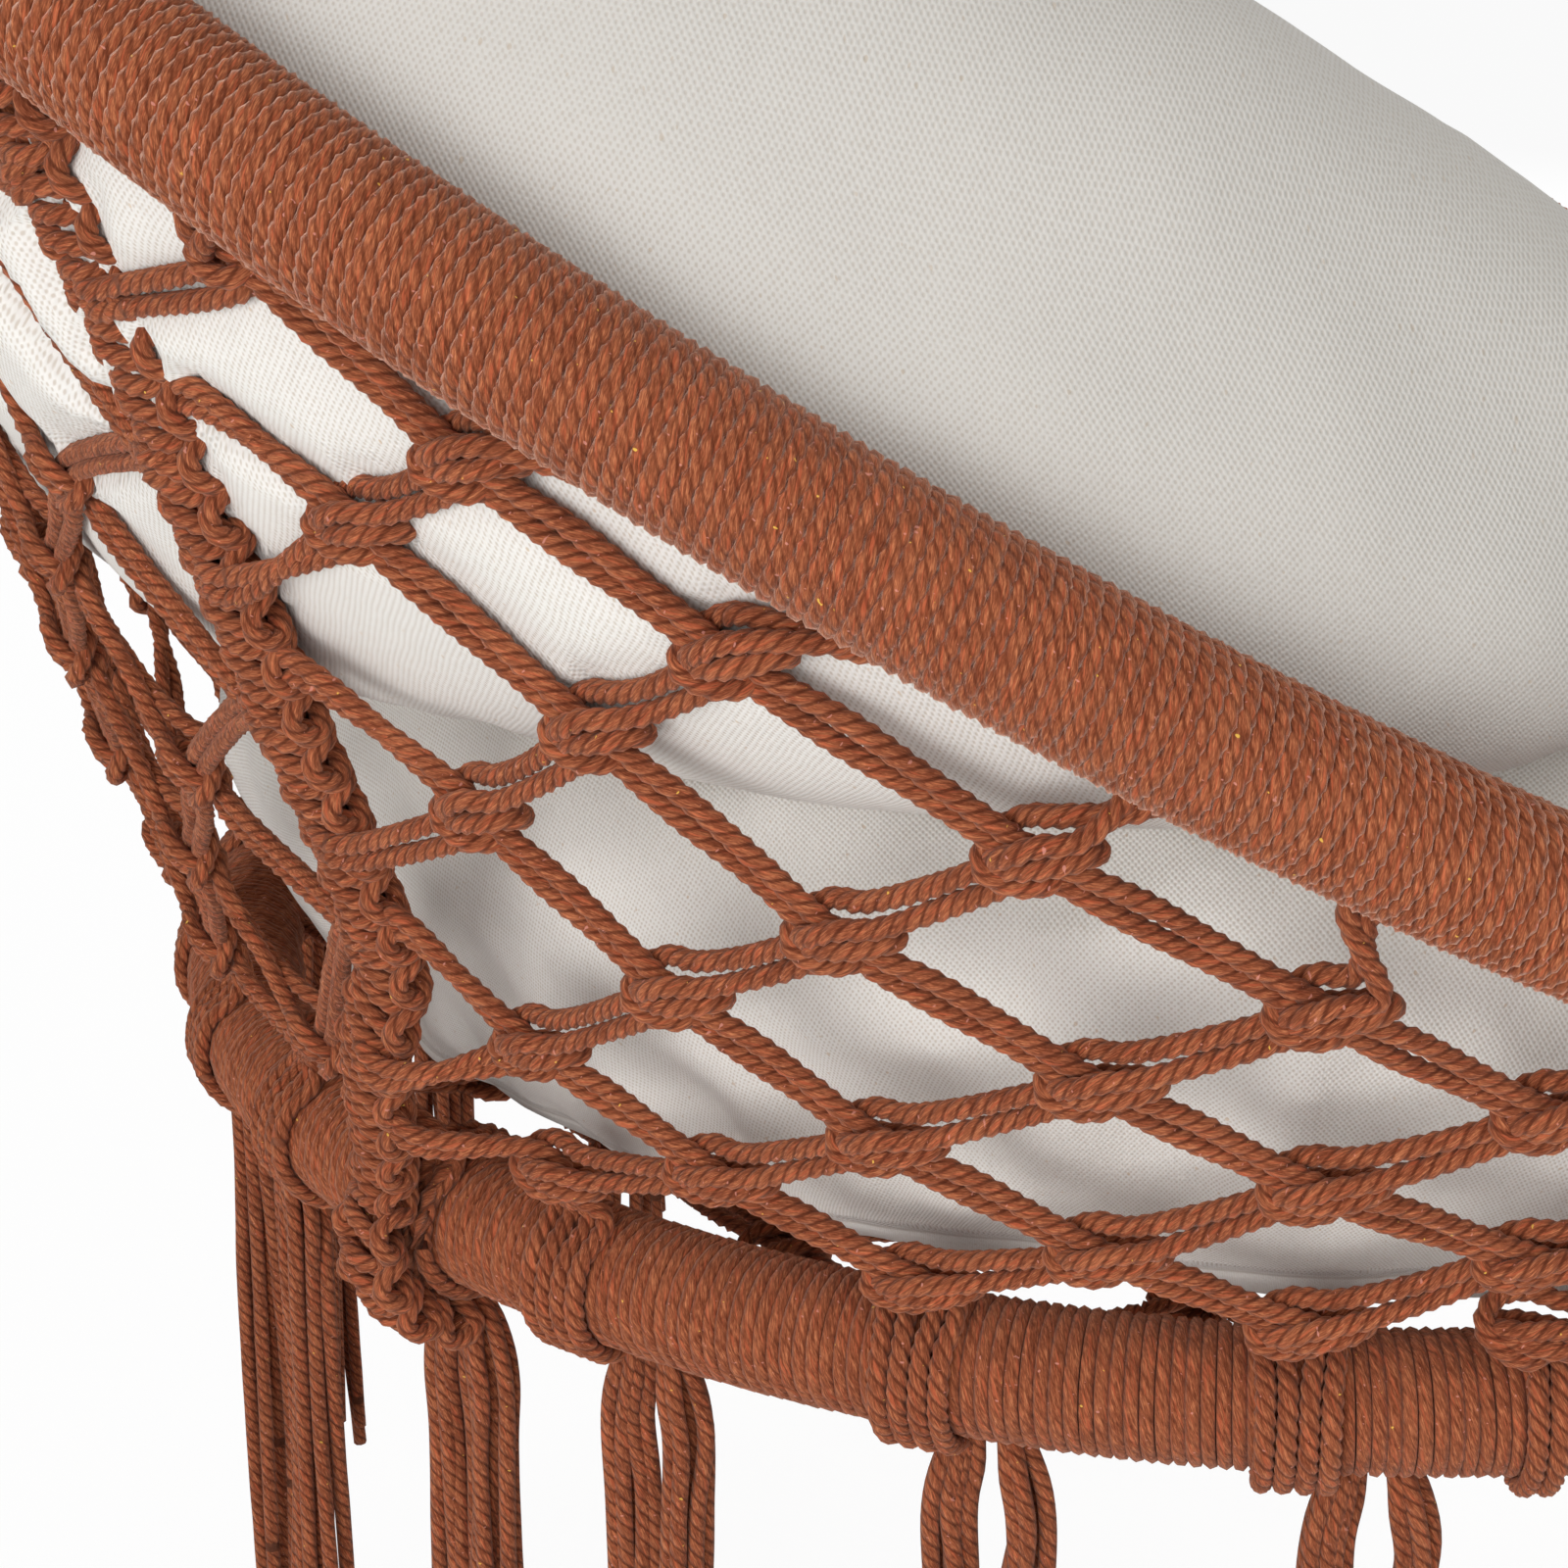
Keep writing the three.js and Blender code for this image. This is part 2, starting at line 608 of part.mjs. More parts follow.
function addCrown() {
  const round = ringWire / 2 + loopFit + loopCord / 2;
  const section = new THREE.Shape().absarc(0, 0, loopCord / 2, 0, 2 * Math.PI);
  const loops = Array.from({ length: loopCount }, (_, i) => {
    const x = (i - (loopCount - 1) / 2) * loopPitch;
    const rise = ringInner + ringWire / 2 - Math.sqrt((ringInner + ringWire / 2) ** 2 - x * x);
    const path = new THREE.CurvePath();
    const foot = crownTop - loopCord / 2 - wireLow;
    const at = (y, z) => new THREE.Vector3(x, y, wireLow + z);
    const over = (turn) => at(-round * Math.cos(turn), rise + round * Math.sin(turn));
    const arc = new HoopArc(over, 0, Math.PI);
    path.add(new THREE.LineCurve3(at(-round, foot), at(-round, rise)));
    path.add(arc);
    path.add(new THREE.LineCurve3(at(round, rise), at(round, foot)));
    return new THREE.ExtrudeGeometry(section, { steps: 16, curveSegments: 4, extrudePath: path });
  });
  const radius = crownDiameter / 2;
  const end = radius - crownBulge;
  const outline = [[0, 0], [end, 0], [radius, edgeShare], [radius, 1 - edgeShare], [end, 1], [0, 1]];
  const profile = outline.map(([r, share]) => new THREE.Vector2(r, crownFoot + crownLength * share));
  const winding = new THREE.LatheGeometry(profile, 16).rotateX(Math.PI / 2);
  add("crown_winding", joined([winding, ...loops]), colours.cord);
}

const ropePitch = 3 * braidPitch;
const ropeNarrow = 0.6;

function rope(degrees) {
  const out = outward(degrees);
  const ropeSeat = (crownDiameter - braidThickness) / 2 - crownBulge;
  const place = out.clone().multiplyScalar(ropeSeat).setZ(crownFoot - touchGap);
  const top = { place, normal: out, along: new THREE.Vector3(out.y, -out.x, 0) };
  const foot = landing(onRim, degrees, top.place, lashOuter + touchGap);
  const spotAt = (share) => {
    if (share === 0) return foot;
    if (share === 1) return top;
    const normal = foot.normal.clone().lerp(out, share).normalize();
    return { place: foot.place.clone().lerp(top.place, share), normal };
  };
  return braidGeometry(spotAt, foot.place.distanceTo(top.place), ropePitch, ropeNarrow);
}

function lashing(hoop, radius, degrees) {
  const half = lashLength / 2 / radius / radiansPerDegree;
  return sleeve(hoop, degrees - half, degrees + half, 2, lashOuter, lashInner);
}

function mirrored(geometry) {
  const bare = geometry.clone();
  ["normal", "uv"].forEach((name) => bare.deleteAttribute(name));
  const copy = mergeVertices(bare, 1e-4);
  copy.scale(-1, 1, 1);
  const index = copy.index.array;
  for (let i = 0; i < index.length; i += 3) [index[i], index[i + 1]] = [index[i + 1], index[i]];
  return copy;
}

function addPair(name, geometry, material) {
  add("left_" + name, geometry, material);
  add("right_" + name, mirrored(geometry), material);
}

function addBraids() {
  const places = [
    ["back", backBraid, backBraidSpread, backBraidLine],
    ["front", frontBraid, frontBraidSpread, frontBraidLine],
  ];
  places.forEach(([name, degrees, spread, line]) => {
    addPair(name + "_rope", rope(degrees), colours.cord);
    addPair(name + "_braid", line.geometry(), colours.cord);
    addPair(name + "_rim_lashing", lashing(onRim, rimRadius, degrees), colours.cord);
    addPair(name + "_seat_lashing", lashing(onSeatHoop, seatRadius, degrees + spread), colours.cord);
  });
}

// Winding that ties the two hoops together at the front: an oval sleeve round both

function addFrontTie() {
  const half = hoopOffset / 2;
  const oval = (radius, Kind) => {
    const shape = new Kind();
    shape.absarc(half, 0, radius, -Math.PI / 2, Math.PI / 2);
    shape.absarc(-half, 0, radius, Math.PI / 2, 1.5 * Math.PI);
    return shape;
  };
  const inner = wrapDiameter / 2 + frontTieFit;
  const shape = oval(inner + frontTieThickness, THREE.Shape);
  shape.holes.push(oval(inner, THREE.Path));
  const settings = { depth: frontTieLength, curveSegments: 8, bevelEnabled: false };
  const tie = new THREE.ExtrudeGeometry(shape, settings);
  tie.translate(0, 0, -frontTieLength / 2);
  tie.rotateY(Math.PI / 2);
  tie.rotateX(-tieAngle);
  const halfway = (degrees) => onChords(onRim, degrees).lerp(onChords(onSeatHoop, degrees), 0.5);
  const turn = frontTieLength / 4 / seatRadius / radiansPerDegree;
  tie.translate(0, halfway(frontMiddle + turn).y, halfway(frontMiddle + turn).z);
  add("front_tie", tie, colours.cord);
}

// Cushions: unit spheres whose points are carried out to the basket's walls

// The furthest out that a cushion may reach at a height
function wallAt(degrees, z) {
  const rimZ = onRim(degrees).z;
  const share = THREE.MathUtils.clamp((rimZ - z) / (rimZ - seatMiddle.z), 0, 1);
  const near = (level) => Math.exp(-(((z - level) / hoopReach) ** 2));
  const tight = Math.max(near(rimZ), near(seatMiddle.z), z > rimZ ? 1 : 0);
  const inset = wallClearance + (hoopClearance - wallClearance) * tight;
  return onNet(degrees, share).addScaledVector(outward(degrees), -inset).setZ(z);
}

const crownPower = 2.6;
const seatCushionShift = -45;
const cushionGap = 1.2;
const seatCushionMiddle = new THREE.Vector3(
  0,
  rimSetback + seatCushionShift,
  -hangDrop - cushionTop - seatCushionHeight / 2,
);

function bulged(level, power) {
  return Math.max(0, 1 - Math.abs(level) ** power) ** (1 / power);
}

function moved(geometry, place) {
  const points = geometry.getAttribute("position");
  const unit = new THREE.Vector3();
  for (let i = 0; i < points.count; i++) {
    unit.fromBufferAttribute(points, i);
    const point = place(unit);
    points.setXYZ(i, point.x, point.y, point.z);
  }
  ["normal", "uv"].forEach((name) => geometry.deleteAttribute(name));
  return mergeVertices(geometry, 1e-3);
}

function addSeatCushion() {
  const ball = new THREE.SphereGeometry(1, 40, 20).rotateX(Math.PI / 2);
  const shape = moved(ball, (unit) => {
    const level = (2 / Math.PI) * Math.asin(THREE.MathUtils.clamp(unit.z, -1, 1));
    const height = Math.sign(level) * bulged(1 - Math.abs(level), crownPower);
    const z = seatCushionMiddle.z + (seatCushionHeight / 2) * height;
    const degrees = Math.atan2(unit.y, -unit.x) / radiansPerDegree;
    const middle = seatCushionMiddle.clone().setZ(z);
    return middle.lerp(wallAt(degrees, z), bulged(height, crownPower));
  });
  add("seat_cushion", shape, colours.canvas);
}

const backCushionStart = -45;
const backCushionEnd = 195;
const wingPower = 1.6;
const backEndPower = 2.4;
const backSectionPower = 2.4;
const endPower = 0.8; // gathers the mesh towards the two ends
const leanShare = 0.62;

const seatPasses = 5;

// Height of the seat cushion's upper face at a place
function seatTopAt(place) {
  const degrees = Math.atan2(place.y - seatCushionMiddle.y, -place.x) / radiansPerDegree;
  const flat = new THREE.Vector2(place.x, place.y - seatCushionMiddle.y);
  let z = seatCushionMiddle.z;
  for (let pass = 0; pass < seatPasses; pass++) {
    const wall = wallAt(degrees, z).sub(seatCushionMiddle);
    const share = flat.length() / Math.hypot(wall.x, wall.y);
    z = seatCushionMiddle.z + (seatCushionHeight / 2) * bulged(share, crownPower);
  }
  return z;
}

// The back cushion is a long pad that curves round the back, with a wing along each side
function addBackCushion() {
  const ball = new THREE.SphereGeometry(1, 24, 40).rotateX(Math.PI / 2);
  const shape = moved(ball, (unit) => {
    const along = (2 / Math.PI) * Math.asin(THREE.MathUtils.clamp(unit.z, -1, 1));
    const reach = Math.sign(along) * Math.abs(along) ** endPower;
    const degrees = THREE.MathUtils.lerp(backCushionStart, backCushionEnd, (reach + 1) / 2);
    const turn = Math.atan2(unit.y, unit.x);
    const round = (value) => Math.sign(value) * Math.abs(value) ** (2 / backSectionPower);
    const swell = bulged(reach, backEndPower);
    const tall = wingHeight + (backCushionRise - wingHeight) * (1 - reach * reach) ** wingPower;
    const z = -hangDrop - backCushionFoot + (tall * (1 + round(Math.sin(turn)) * swell)) / 2;
    const lean = Math.max(0, z - onRim(degrees).z) * leanShare;
    const depth = (backCushionThickness / 2) * (1 - round(Math.cos(turn)) * swell);
    const place = wallAt(degrees, z).addScaledVector(outward(degrees), -depth - lean);
    return place.setZ(Math.max(z, seatTopAt(place) + cushionGap));
  });
  add("back_cushion", shape, colours.canvas);
}

// Tassels of cord ends under the seat hoop

const tasselDegrees = [backBraid + backBraidSpread, 24, 8, -8, -23, -38, 54, 72];

function addTassels() {
  const heights = [0, 0.06, 0.16, 0.55, 1];
  const widths = [0.4, 1, 0.7, 1, 0.9];
  const top = wrapDiameter / 2 + touchGap;
  const profile = [new THREE.Vector2(0, 0)];
  heights.forEach((share, i) => {
    const radius = (i < 3 ? tasselNeck : tasselWidth) / 2;
    profile.unshift(new THREE.Vector2(radius * widths[i], -tasselLength * share));
  });
  profile.unshift(new THREE.Vector2(0, -tasselLength));
  const places = [...tasselDegrees, ...tasselDegrees.map((degrees) => 180 - degrees), backMiddle];
  places.forEach((degrees, i) => {
    const tassel = new THREE.LatheGeometry(profile, 6).rotateX(Math.PI / 2);
    const foot = onSeatHoop(degrees);
    const extra = lashed(degrees) ? lashOuter - wrapDiameter / 2 : 0;
    tassel.translate(foot.x, foot.y, foot.z - top - extra);
    add("tassel_" + (i + 1), tassel, colours.cord);
  });
}

addRing();
addCrown();
addHoop("rim", onRim, rimRadius, backBraid, frontBraid);
addHoop("seat_hoop", onSeatHoop, seatRadius, backBraid + backBraidSpread, frontBraid + frontBraidSpread);
addBraids();
addFrontTie();
sideNets().forEach((net, i) => addPair("side_net_" + ["rear", "fore"][i], net, colours.cord));
backNets().forEach((net, i) => add("back_net_" + (i + 1), net, colours.cord));
add("seat_net", seatNet(), colours.cord);
addSeatCushion();
addBackCushion();
addTassels();

export default chair;
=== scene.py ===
# Hanging hammock chair: cord net on two wound hoops, canvas cushions, ropes to a steel ring.
# Metres, +Z up, the front towards -Y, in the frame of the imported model.

import math
import random

import bmesh
import bpy
import numpy as np
from mathutils import Matrix, Vector
from mathutils.kdtree import KDTree


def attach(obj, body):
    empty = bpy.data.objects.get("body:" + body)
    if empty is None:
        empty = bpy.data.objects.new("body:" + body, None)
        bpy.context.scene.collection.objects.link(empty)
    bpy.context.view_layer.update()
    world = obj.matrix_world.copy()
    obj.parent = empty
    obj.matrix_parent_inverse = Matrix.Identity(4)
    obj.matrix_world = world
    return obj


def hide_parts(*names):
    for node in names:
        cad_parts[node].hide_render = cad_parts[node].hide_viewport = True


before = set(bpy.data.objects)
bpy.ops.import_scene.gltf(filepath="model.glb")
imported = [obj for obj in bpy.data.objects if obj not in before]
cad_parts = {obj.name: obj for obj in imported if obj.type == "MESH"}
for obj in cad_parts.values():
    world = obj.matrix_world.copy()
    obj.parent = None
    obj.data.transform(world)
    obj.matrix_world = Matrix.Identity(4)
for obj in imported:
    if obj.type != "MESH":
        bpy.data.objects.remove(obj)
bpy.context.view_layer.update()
scene = bpy.context.scene
chance = random.Random(4)

# The chair's main sizes, as in its CAD source

chair = {
    "rimRadius": 0.4,
    "seatRadius": 0.3,
    "rimTilt": math.radians(29.5),
    "rimMiddle": Vector((0, -0.0146, -0.88)),
    "hoopOffset": 0.0328,  # between the hoops where they are tied, 45 degrees down
    "wrap": 0.016,  # radius of a wound hoop
    "netBulge": 0.008,
    "cord": 0.0022,  # radius of a cord
    "lay": 0.0105,  # a full turn of a cord's three plies
    "backBraid": 27,
    "frontBraid": -54,
    "braidSpread": 9,
    "pair": 0.0023,  # from the middle of two cords side by side to each
    "centre": -0.04,  # of the cushions' round, along Y
}

# Camera, floor and lamps

view = {
    "place": (-0.9592, -0.1314, -0.7414), "yaw": 11.29, "pitch": -18.61, "roll": -0.37,
    "lens": 78.64, "sensor": 36, "nearest": 0.02,
}


def addCamera():
    yaw, pitch = math.radians(view["yaw"]), math.radians(view["pitch"])
    flat = math.cos(pitch)
    look = Vector((flat * math.cos(yaw), flat * math.sin(yaw), math.sin(pitch)))
    right = look.cross(Vector((0, 0, 1))).normalized()
    turn = Matrix((right, right.cross(look), -look)).transposed().to_4x4()
    data = bpy.data.cameras.new("camera")
    data.lens = view["lens"]
    data.sensor_width = view["sensor"]
    data.clip_start = view["nearest"]
    camera = bpy.data.objects.new("camera", data)
    roll = Matrix.Rotation(math.radians(view["roll"]), 4, "Z")
    camera.matrix_world = Matrix.Translation(view["place"]) @ turn @ roll
    scene.collection.objects.link(camera)
    scene.camera = camera


lamps = {
    "key": {"place": (-2.0, -0.9, 1.0), "size": 2.2, "power": 24, "colour": (1, 0.985, 0.96)},
    "front": {"place": (-2.6, 0.6, -1.2), "size": 2.4, "power": 78, "colour": (0.99, 0.99, 1)},
    "fill": {"place": (2.5, -1.1, 0.3), "size": 2.6, "power": 52, "colour": (1, 1, 1)},
}
lampAim = Vector((0, 0, -0.95))  # about the middle of the basket


def addLamp(name):
    lamp = lamps[name]
    data = bpy.data.lights.new(name, "AREA")
    data.size = lamp["size"]
    data.energy = lamp["power"]
    data.color = lamp["colour"]
    light = bpy.data.objects.new(name, data)
    aim = lampAim - Vector(lamp["place"])
    turn = aim.to_track_quat("-Z", "Y").to_matrix().to_4x4()
    light.matrix_world = Matrix.Translation(lamp["place"]) @ turn
    scene.collection.objects.link(light)


# Shader maths: a socket whose sums add Math nodes, and a shader that makes every other node


class Socket:
    def __init__(self, shader, link):
        self.shader = shader
        self.link = link

    def maths(self, operation, *values):
        return self.shader.node("ShaderNodeMath", {"operation": operation}, dict(enumerate(values)))

    def __add__(self, other):
        return self.maths("ADD", self, other)

    def __radd__(self, other):
        return self.maths("ADD", other, self)

    def __sub__(self, other):
        return self.maths("SUBTRACT", self, other)

    def __rsub__(self, other):
        return self.maths("SUBTRACT", other, self)

    def __mul__(self, other):
        return self.maths("MULTIPLY", self, other)

    def __rmul__(self, other):
        return self.maths("MULTIPLY", other, self)

    def __truediv__(self, other):
        return self.maths("DIVIDE", self, other)

    def __pow__(self, other):
        return self.maths("POWER", self, other)

    def __abs__(self):
        return self.maths("ABSOLUTE", self)

    def wave(self):  # one full cosine for each whole step of the value
        return self.maths("COSINE", self * (2 * math.pi))

    def rise(self, low, high):  # 0 below low, 1 above high
        ends = {0: self, 1: low, 2: high, 3: 0, 4: 1}
        return self.shader.node("ShaderNodeMapRange", {"interpolation_type": "SMOOTHSTEP"}, ends)


class Shader:
    def __init__(self, tree):
        self.tree = tree

    def node(self, kind, settings=None, inputs=None, output=0):
        node = self.tree.nodes.new(kind)
        for name, value in (settings or {}).items():
            setattr(node, name, value)
        for name, value in (inputs or {}).items():
            self.plug(value, node.inputs[name])
        return Socket(self, node.outputs[output])

    def plug(self, value, socket):
        if isinstance(value, Socket):
            self.tree.links.new(value.link, socket)
        elif socket.type == "RGBA" and len(value) == 3:
            socket.default_value = (*value, 1)
        else:
            socket.default_value = value


class Finish(Shader):
    def __init__(self, name, slot):
        self.material = bpy.data.materials.new(name)
        self.material.use_nodes = True
        super().__init__(self.material.node_tree)
        self.slot = slot
        self.surface = self.tree.nodes["Principled BSDF"]

    def set(self, **values):
        for name, value in values.items():
            self.plug(value, self.surface.inputs[name.replace("_", " ")])

    def blend(self, mask, first, second):
        return self.node("ShaderNodeMix", {"data_type": "RGBA"}, {0: mask, 6: first, 7: second}, 2)

    def noise(self, vector, scale, detail=2.0, rough=0.5):
        inputs = {"Vector": vector, "Scale": scale, "Detail": detail, "Roughness": rough}
        return self.node("ShaderNodeTexNoise", None, inputs)

    def vector(self, x, y, z):
        return self.node("ShaderNodeCombineXYZ", None, {0: x, 1: y, 2: z})

    def bump(self, height, depth, normal=None):
        inputs = {"Height": height, "Distance": depth}
        if normal:
            inputs["Normal"] = normal
        return self.node("ShaderNodeBump", None, inputs)


def coordinates(finish, kind):
    node = finish.node("ShaderNodeTexCoord").link.node
    split = finish.node("ShaderNodeSeparateXYZ", None, {0: Socket(finish, node.outputs[kind])}).link.node
    return [Socket(finish, socket) for socket in split.outputs]


# Rust cotton in streaks of its own tone, from painted shade deep between its fibres to painted highlight
# on their tops
cotton = {
    "dark": (0.13, 0.03, 0.012),
    "middle": (0.28, 0.077, 0.033),
    "light": (0.57, 0.205, 0.09),
    "grooveShade": (0.075, 0.015, 0.006),  # painted shade between two plies
    "grooveShadeWeight": 0.7,  # how much of it shows there
    "red": (0.62, 0.13, 0.055),
    "fleckYellow": (0.75, 0.45, 0.08),
    "fleckPink": (0.7, 0.3, 0.24),
    "fibreTurn": 0.65,  # fibres lie nearer to the cord's line than its plies do
    "fibreStretch": 0.16,
    "plyDepth": 0.0004,
    "fibreDepth": 0.0003,
    "sheen": 0.26,
    "sheenTint": (0.95, 0.62, 0.48),
}


# Cotton cord. UV runs in lays along the cord, and once round it. On a cord whose shape has its
# plies the map turns with them, and on a round one the plies are drawn here.
def cottonFinish(name, slot, plied, radius=chair["cord"], grooveShade=cotton["grooveShadeWeight"]):
    finish = Finish(name, slot)
    along, around, _ = coordinates(finish, "UV")
    ply = around if plied else around - along
    fibre = ply + along * cotton["fibreTurn"]
    turn = fibre * (2 * math.pi)
    reach = radius * 1000
    length = along * (chair["lay"] * 1000)
    east, north = turn.maths("COSINE", turn) * reach, turn.maths("SINE", turn) * reach
    ring = finish.vector(east, north, length * cotton["fibreStretch"])
    streak = finish.noise(ring, 1.7, 2.0, 0.6)
    fine = finish.noise(ring, 5.0, 2.0, 0.6)
    warm = finish.noise(finish.vector(east, north, length * 0.1 + 40), 1.6, 1.0)
    wide = finish.noise(finish.vector(length * 0.04, 0, 8), 1.0, 2.0)
    crown = 0.5 + 0.5 * (ply * 3).wave()  # 1 on a ply, 0 between two
    shade = streak * 0.5 + fine * 0.5
    # Fibre streaks: real tone, with painted shade where they lie deep and painted highlight on their
    # tops
    colour = finish.blend(shade.rise(0.34, 0.56), cotton["dark"], cotton["middle"])
    colour = finish.blend(shade.rise(0.48, 0.7), colour, cotton["light"])
    colour = finish.blend(warm.rise(0.55, 0.7) * 0.45, colour, cotton["red"])
    colour = finish.blend(wide.rise(0.4, 0.7) * 0.12, colour, cotton["light"])
    # Painted shade in the grooves between two plies
    colour = finish.blend((1 - crown.rise(0.0, 0.3)) * grooveShade, colour, cotton["grooveShade"])
    speck = finish.noise(finish.vector(length * 0.9, fibre * 6, 7.7), 1.0, 1.0, 0.4)
    colour = finish.blend(speck.rise(0.795, 0.81), colour, cotton["fleckYellow"])
    speck = finish.noise(finish.vector(length * 1.1, fibre * 7, 1.7), 1.0, 1.0, 0.4)
    colour = finish.blend(speck.rise(0.74, 0.77) * 0.6, colour, cotton["fleckPink"])
    normal = finish.bump(shade, cotton["fibreDepth"] * (radius / chair["cord"]))
    if not plied:
        depth = cotton["plyDepth"] * (radius / chair["cord"]) * (grooveShade / cotton["grooveShadeWeight"])
        normal = finish.bump(crown**0.5, depth, normal)
    finish.set(Base_Color=colour, Roughness=0.95, Normal=normal, Specular_IOR_Level=0.1)
    finish.set(Sheen_Weight=cotton["sheen"], Sheen_Roughness=0.5, Sheen_Tint=cotton["sheenTint"])
    return finish


# Cream canvas in plain weave, with painted shade between its threads
canvas = {
    "warp": 0.00072,  # metres from one thread to the next
    "weft": 0.00068,
    "top": (0.83, 0.81, 0.77),
    "between": (0.64, 0.58, 0.51),
    "fleck": (0.6, 0.45, 0.3),
    "shade": (0.5, 0.43, 0.36),  # in the fold of a seam
    "shadeAbove": (0.42, 0.4, 0.37),  # painted shade: greyer above the large hoop
    "husk": (0.76, 0.69, 0.58),
    "cloud": (0.76, 0.72, 0.64),
    "seamDepth": 0.0012,
    "weaveDepth": 0.00022,
}


# UV runs in metres over the canvas, and the seam attribute is the distance to the nearest seam
def canvasFinish(name, slot):
    finish = Finish(name, slot)
    across, up, _ = coordinates(finish, "UV")
    wander = finish.noise(finish.vector(across * 90, up * 90, 0), 1.0, 2.0) - 0.5
    warp = across / (2 * canvas["warp"]) + wander * 0.7
    weft = up / (2 * canvas["weft"]) + wander * 0.5
    weave = 0.5 + 0.5 * warp.wave() * weft.wave()
    slub = finish.noise(finish.vector(across * 260, up * 1500, 0), 1.0, 2.0)
    slubUp = finish.noise(finish.vector(across * 1500, up * 260, 4), 1.0, 2.0)
    cloud = finish.noise(finish.vector(across * 14, up * 14, 2), 1.0, 3.0)
    level = weave * 0.75 + slub * 0.45 + slubUp * 0.2 - 0.15
    # Painted shade between the threads and their lighter tops, mixed with the real tone of the yarn's
    # slubs
    colour = finish.blend(level.rise(0.18, 0.62), canvas["between"], canvas["top"])
    colour = finish.blend(slubUp.rise(0.56, 0.8) * 0.25, colour, canvas["husk"])
    colour = finish.blend(cloud.rise(0.35, 0.8) * 0.12, colour, canvas["cloud"])
    speck = finish.noise(finish.vector(across * 700, up * 700, 9), 1.0, 0.0)
    colour = finish.blend(speck.rise(0.8, 0.84) * 0.6, colour, canvas["fleck"])
    # Painted shade: the canvas is drawn greyer above the plane of the large hoop
    _, y, z = coordinates(finish, "Object")
    middle = chair["rimMiddle"]
    above = z - middle.z - (y - middle.y) * math.tan(chair["rimTilt"])
    colour = finish.blend(above.rise(-0.02, 0.05) * 0.55, colour, canvas["shadeAbove"])
    seam = finish.node("ShaderNodeAttribute", {"attribute_name": "seam"}, None, 2)
    stray = finish.noise(finish.vector(across * 60, up * 60, 5), 1.0, 1.0)
    fold = abs(seam * 1000 + (stray - 0.5))  # millimetres from the seam
    colour = finish.blend((1 - fold.rise(0.15, 0.8)) * 0.5, colour, canvas["shade"])
    pucker = finish.noise(finish.vector(across * 320, up * 30, 6), 1.0, 2.0)
    pucker = pucker * (1 - fold.rise(1.0, 7.0))
    normal = finish.bump(fold.rise(0.0, 3.5) + pucker * 0.5, canvas["seamDepth"])
    normal = finish.bump(level, canvas["weaveDepth"], normal)
    finish.set(Base_Color=colour, Roughness=0.9, Normal=normal)
    finish.set(Specular_IOR_Level=0.15, Sheen_Weight=0.1)
    return finish


# The ring's plated steel, and the coat of the tubes inside their windings
metal = {
    "steel": (0.62, 0.63, 0.65),
    "worn": (0.5, 0.5, 0.5),
    "coat": (0.03, 0.03, 0.033),
    "coatGrain": (0.05, 0.05, 0.053),
    "depth": 0.00002,
}


def steelFinish():
    finish = Finish("plated steel", "plated_steel")
    x, y, z = coordinates(finish, "Object")
    scratch = finish.noise(finish.vector(x * 900, y * 140, z * 900), 1.0, 3.0)
    wear = finish.noise(finish.vector(x * 60, y * 60, z * 60), 1.0, 4.0)
    colour = finish.blend(wear.rise(0.45, 0.7) * 0.5, metal["steel"], metal["worn"])
    normal = finish.bump(scratch, metal["depth"])
    finish.set(Base_Color=colour, Roughness=0.22 + 0.25 * wear, Normal=normal, Metallic=1)
    return finish


def paintedFinish():
    finish = Finish("coated tube", "coated_tube")
    x, y, z = coordinates(finish, "Object")
    grain = finish.noise(finish.vector(x * 1200, y * 1200, z * 1200), 1.0, 2.0)
    colour = finish.blend(grain, metal["coat"], metal["coatGrain"])
    normal = finish.bump(grain, metal["depth"])
    finish.set(Base_Color=colour, Roughness=0.4 + 0.2 * grain, Normal=normal)
    return finish


stage = {
    "height": -1.4,
    "half": 40,
    "colour": (0.82, 0.82, 0.82),
    "share": 0.86,  # of the floor that is seen as plain white, so that the rest keeps the shadow
    "bright": 1.06,
    "backdrop": 1.05,
    "sky": 0.31,  # the light that comes from all round
}


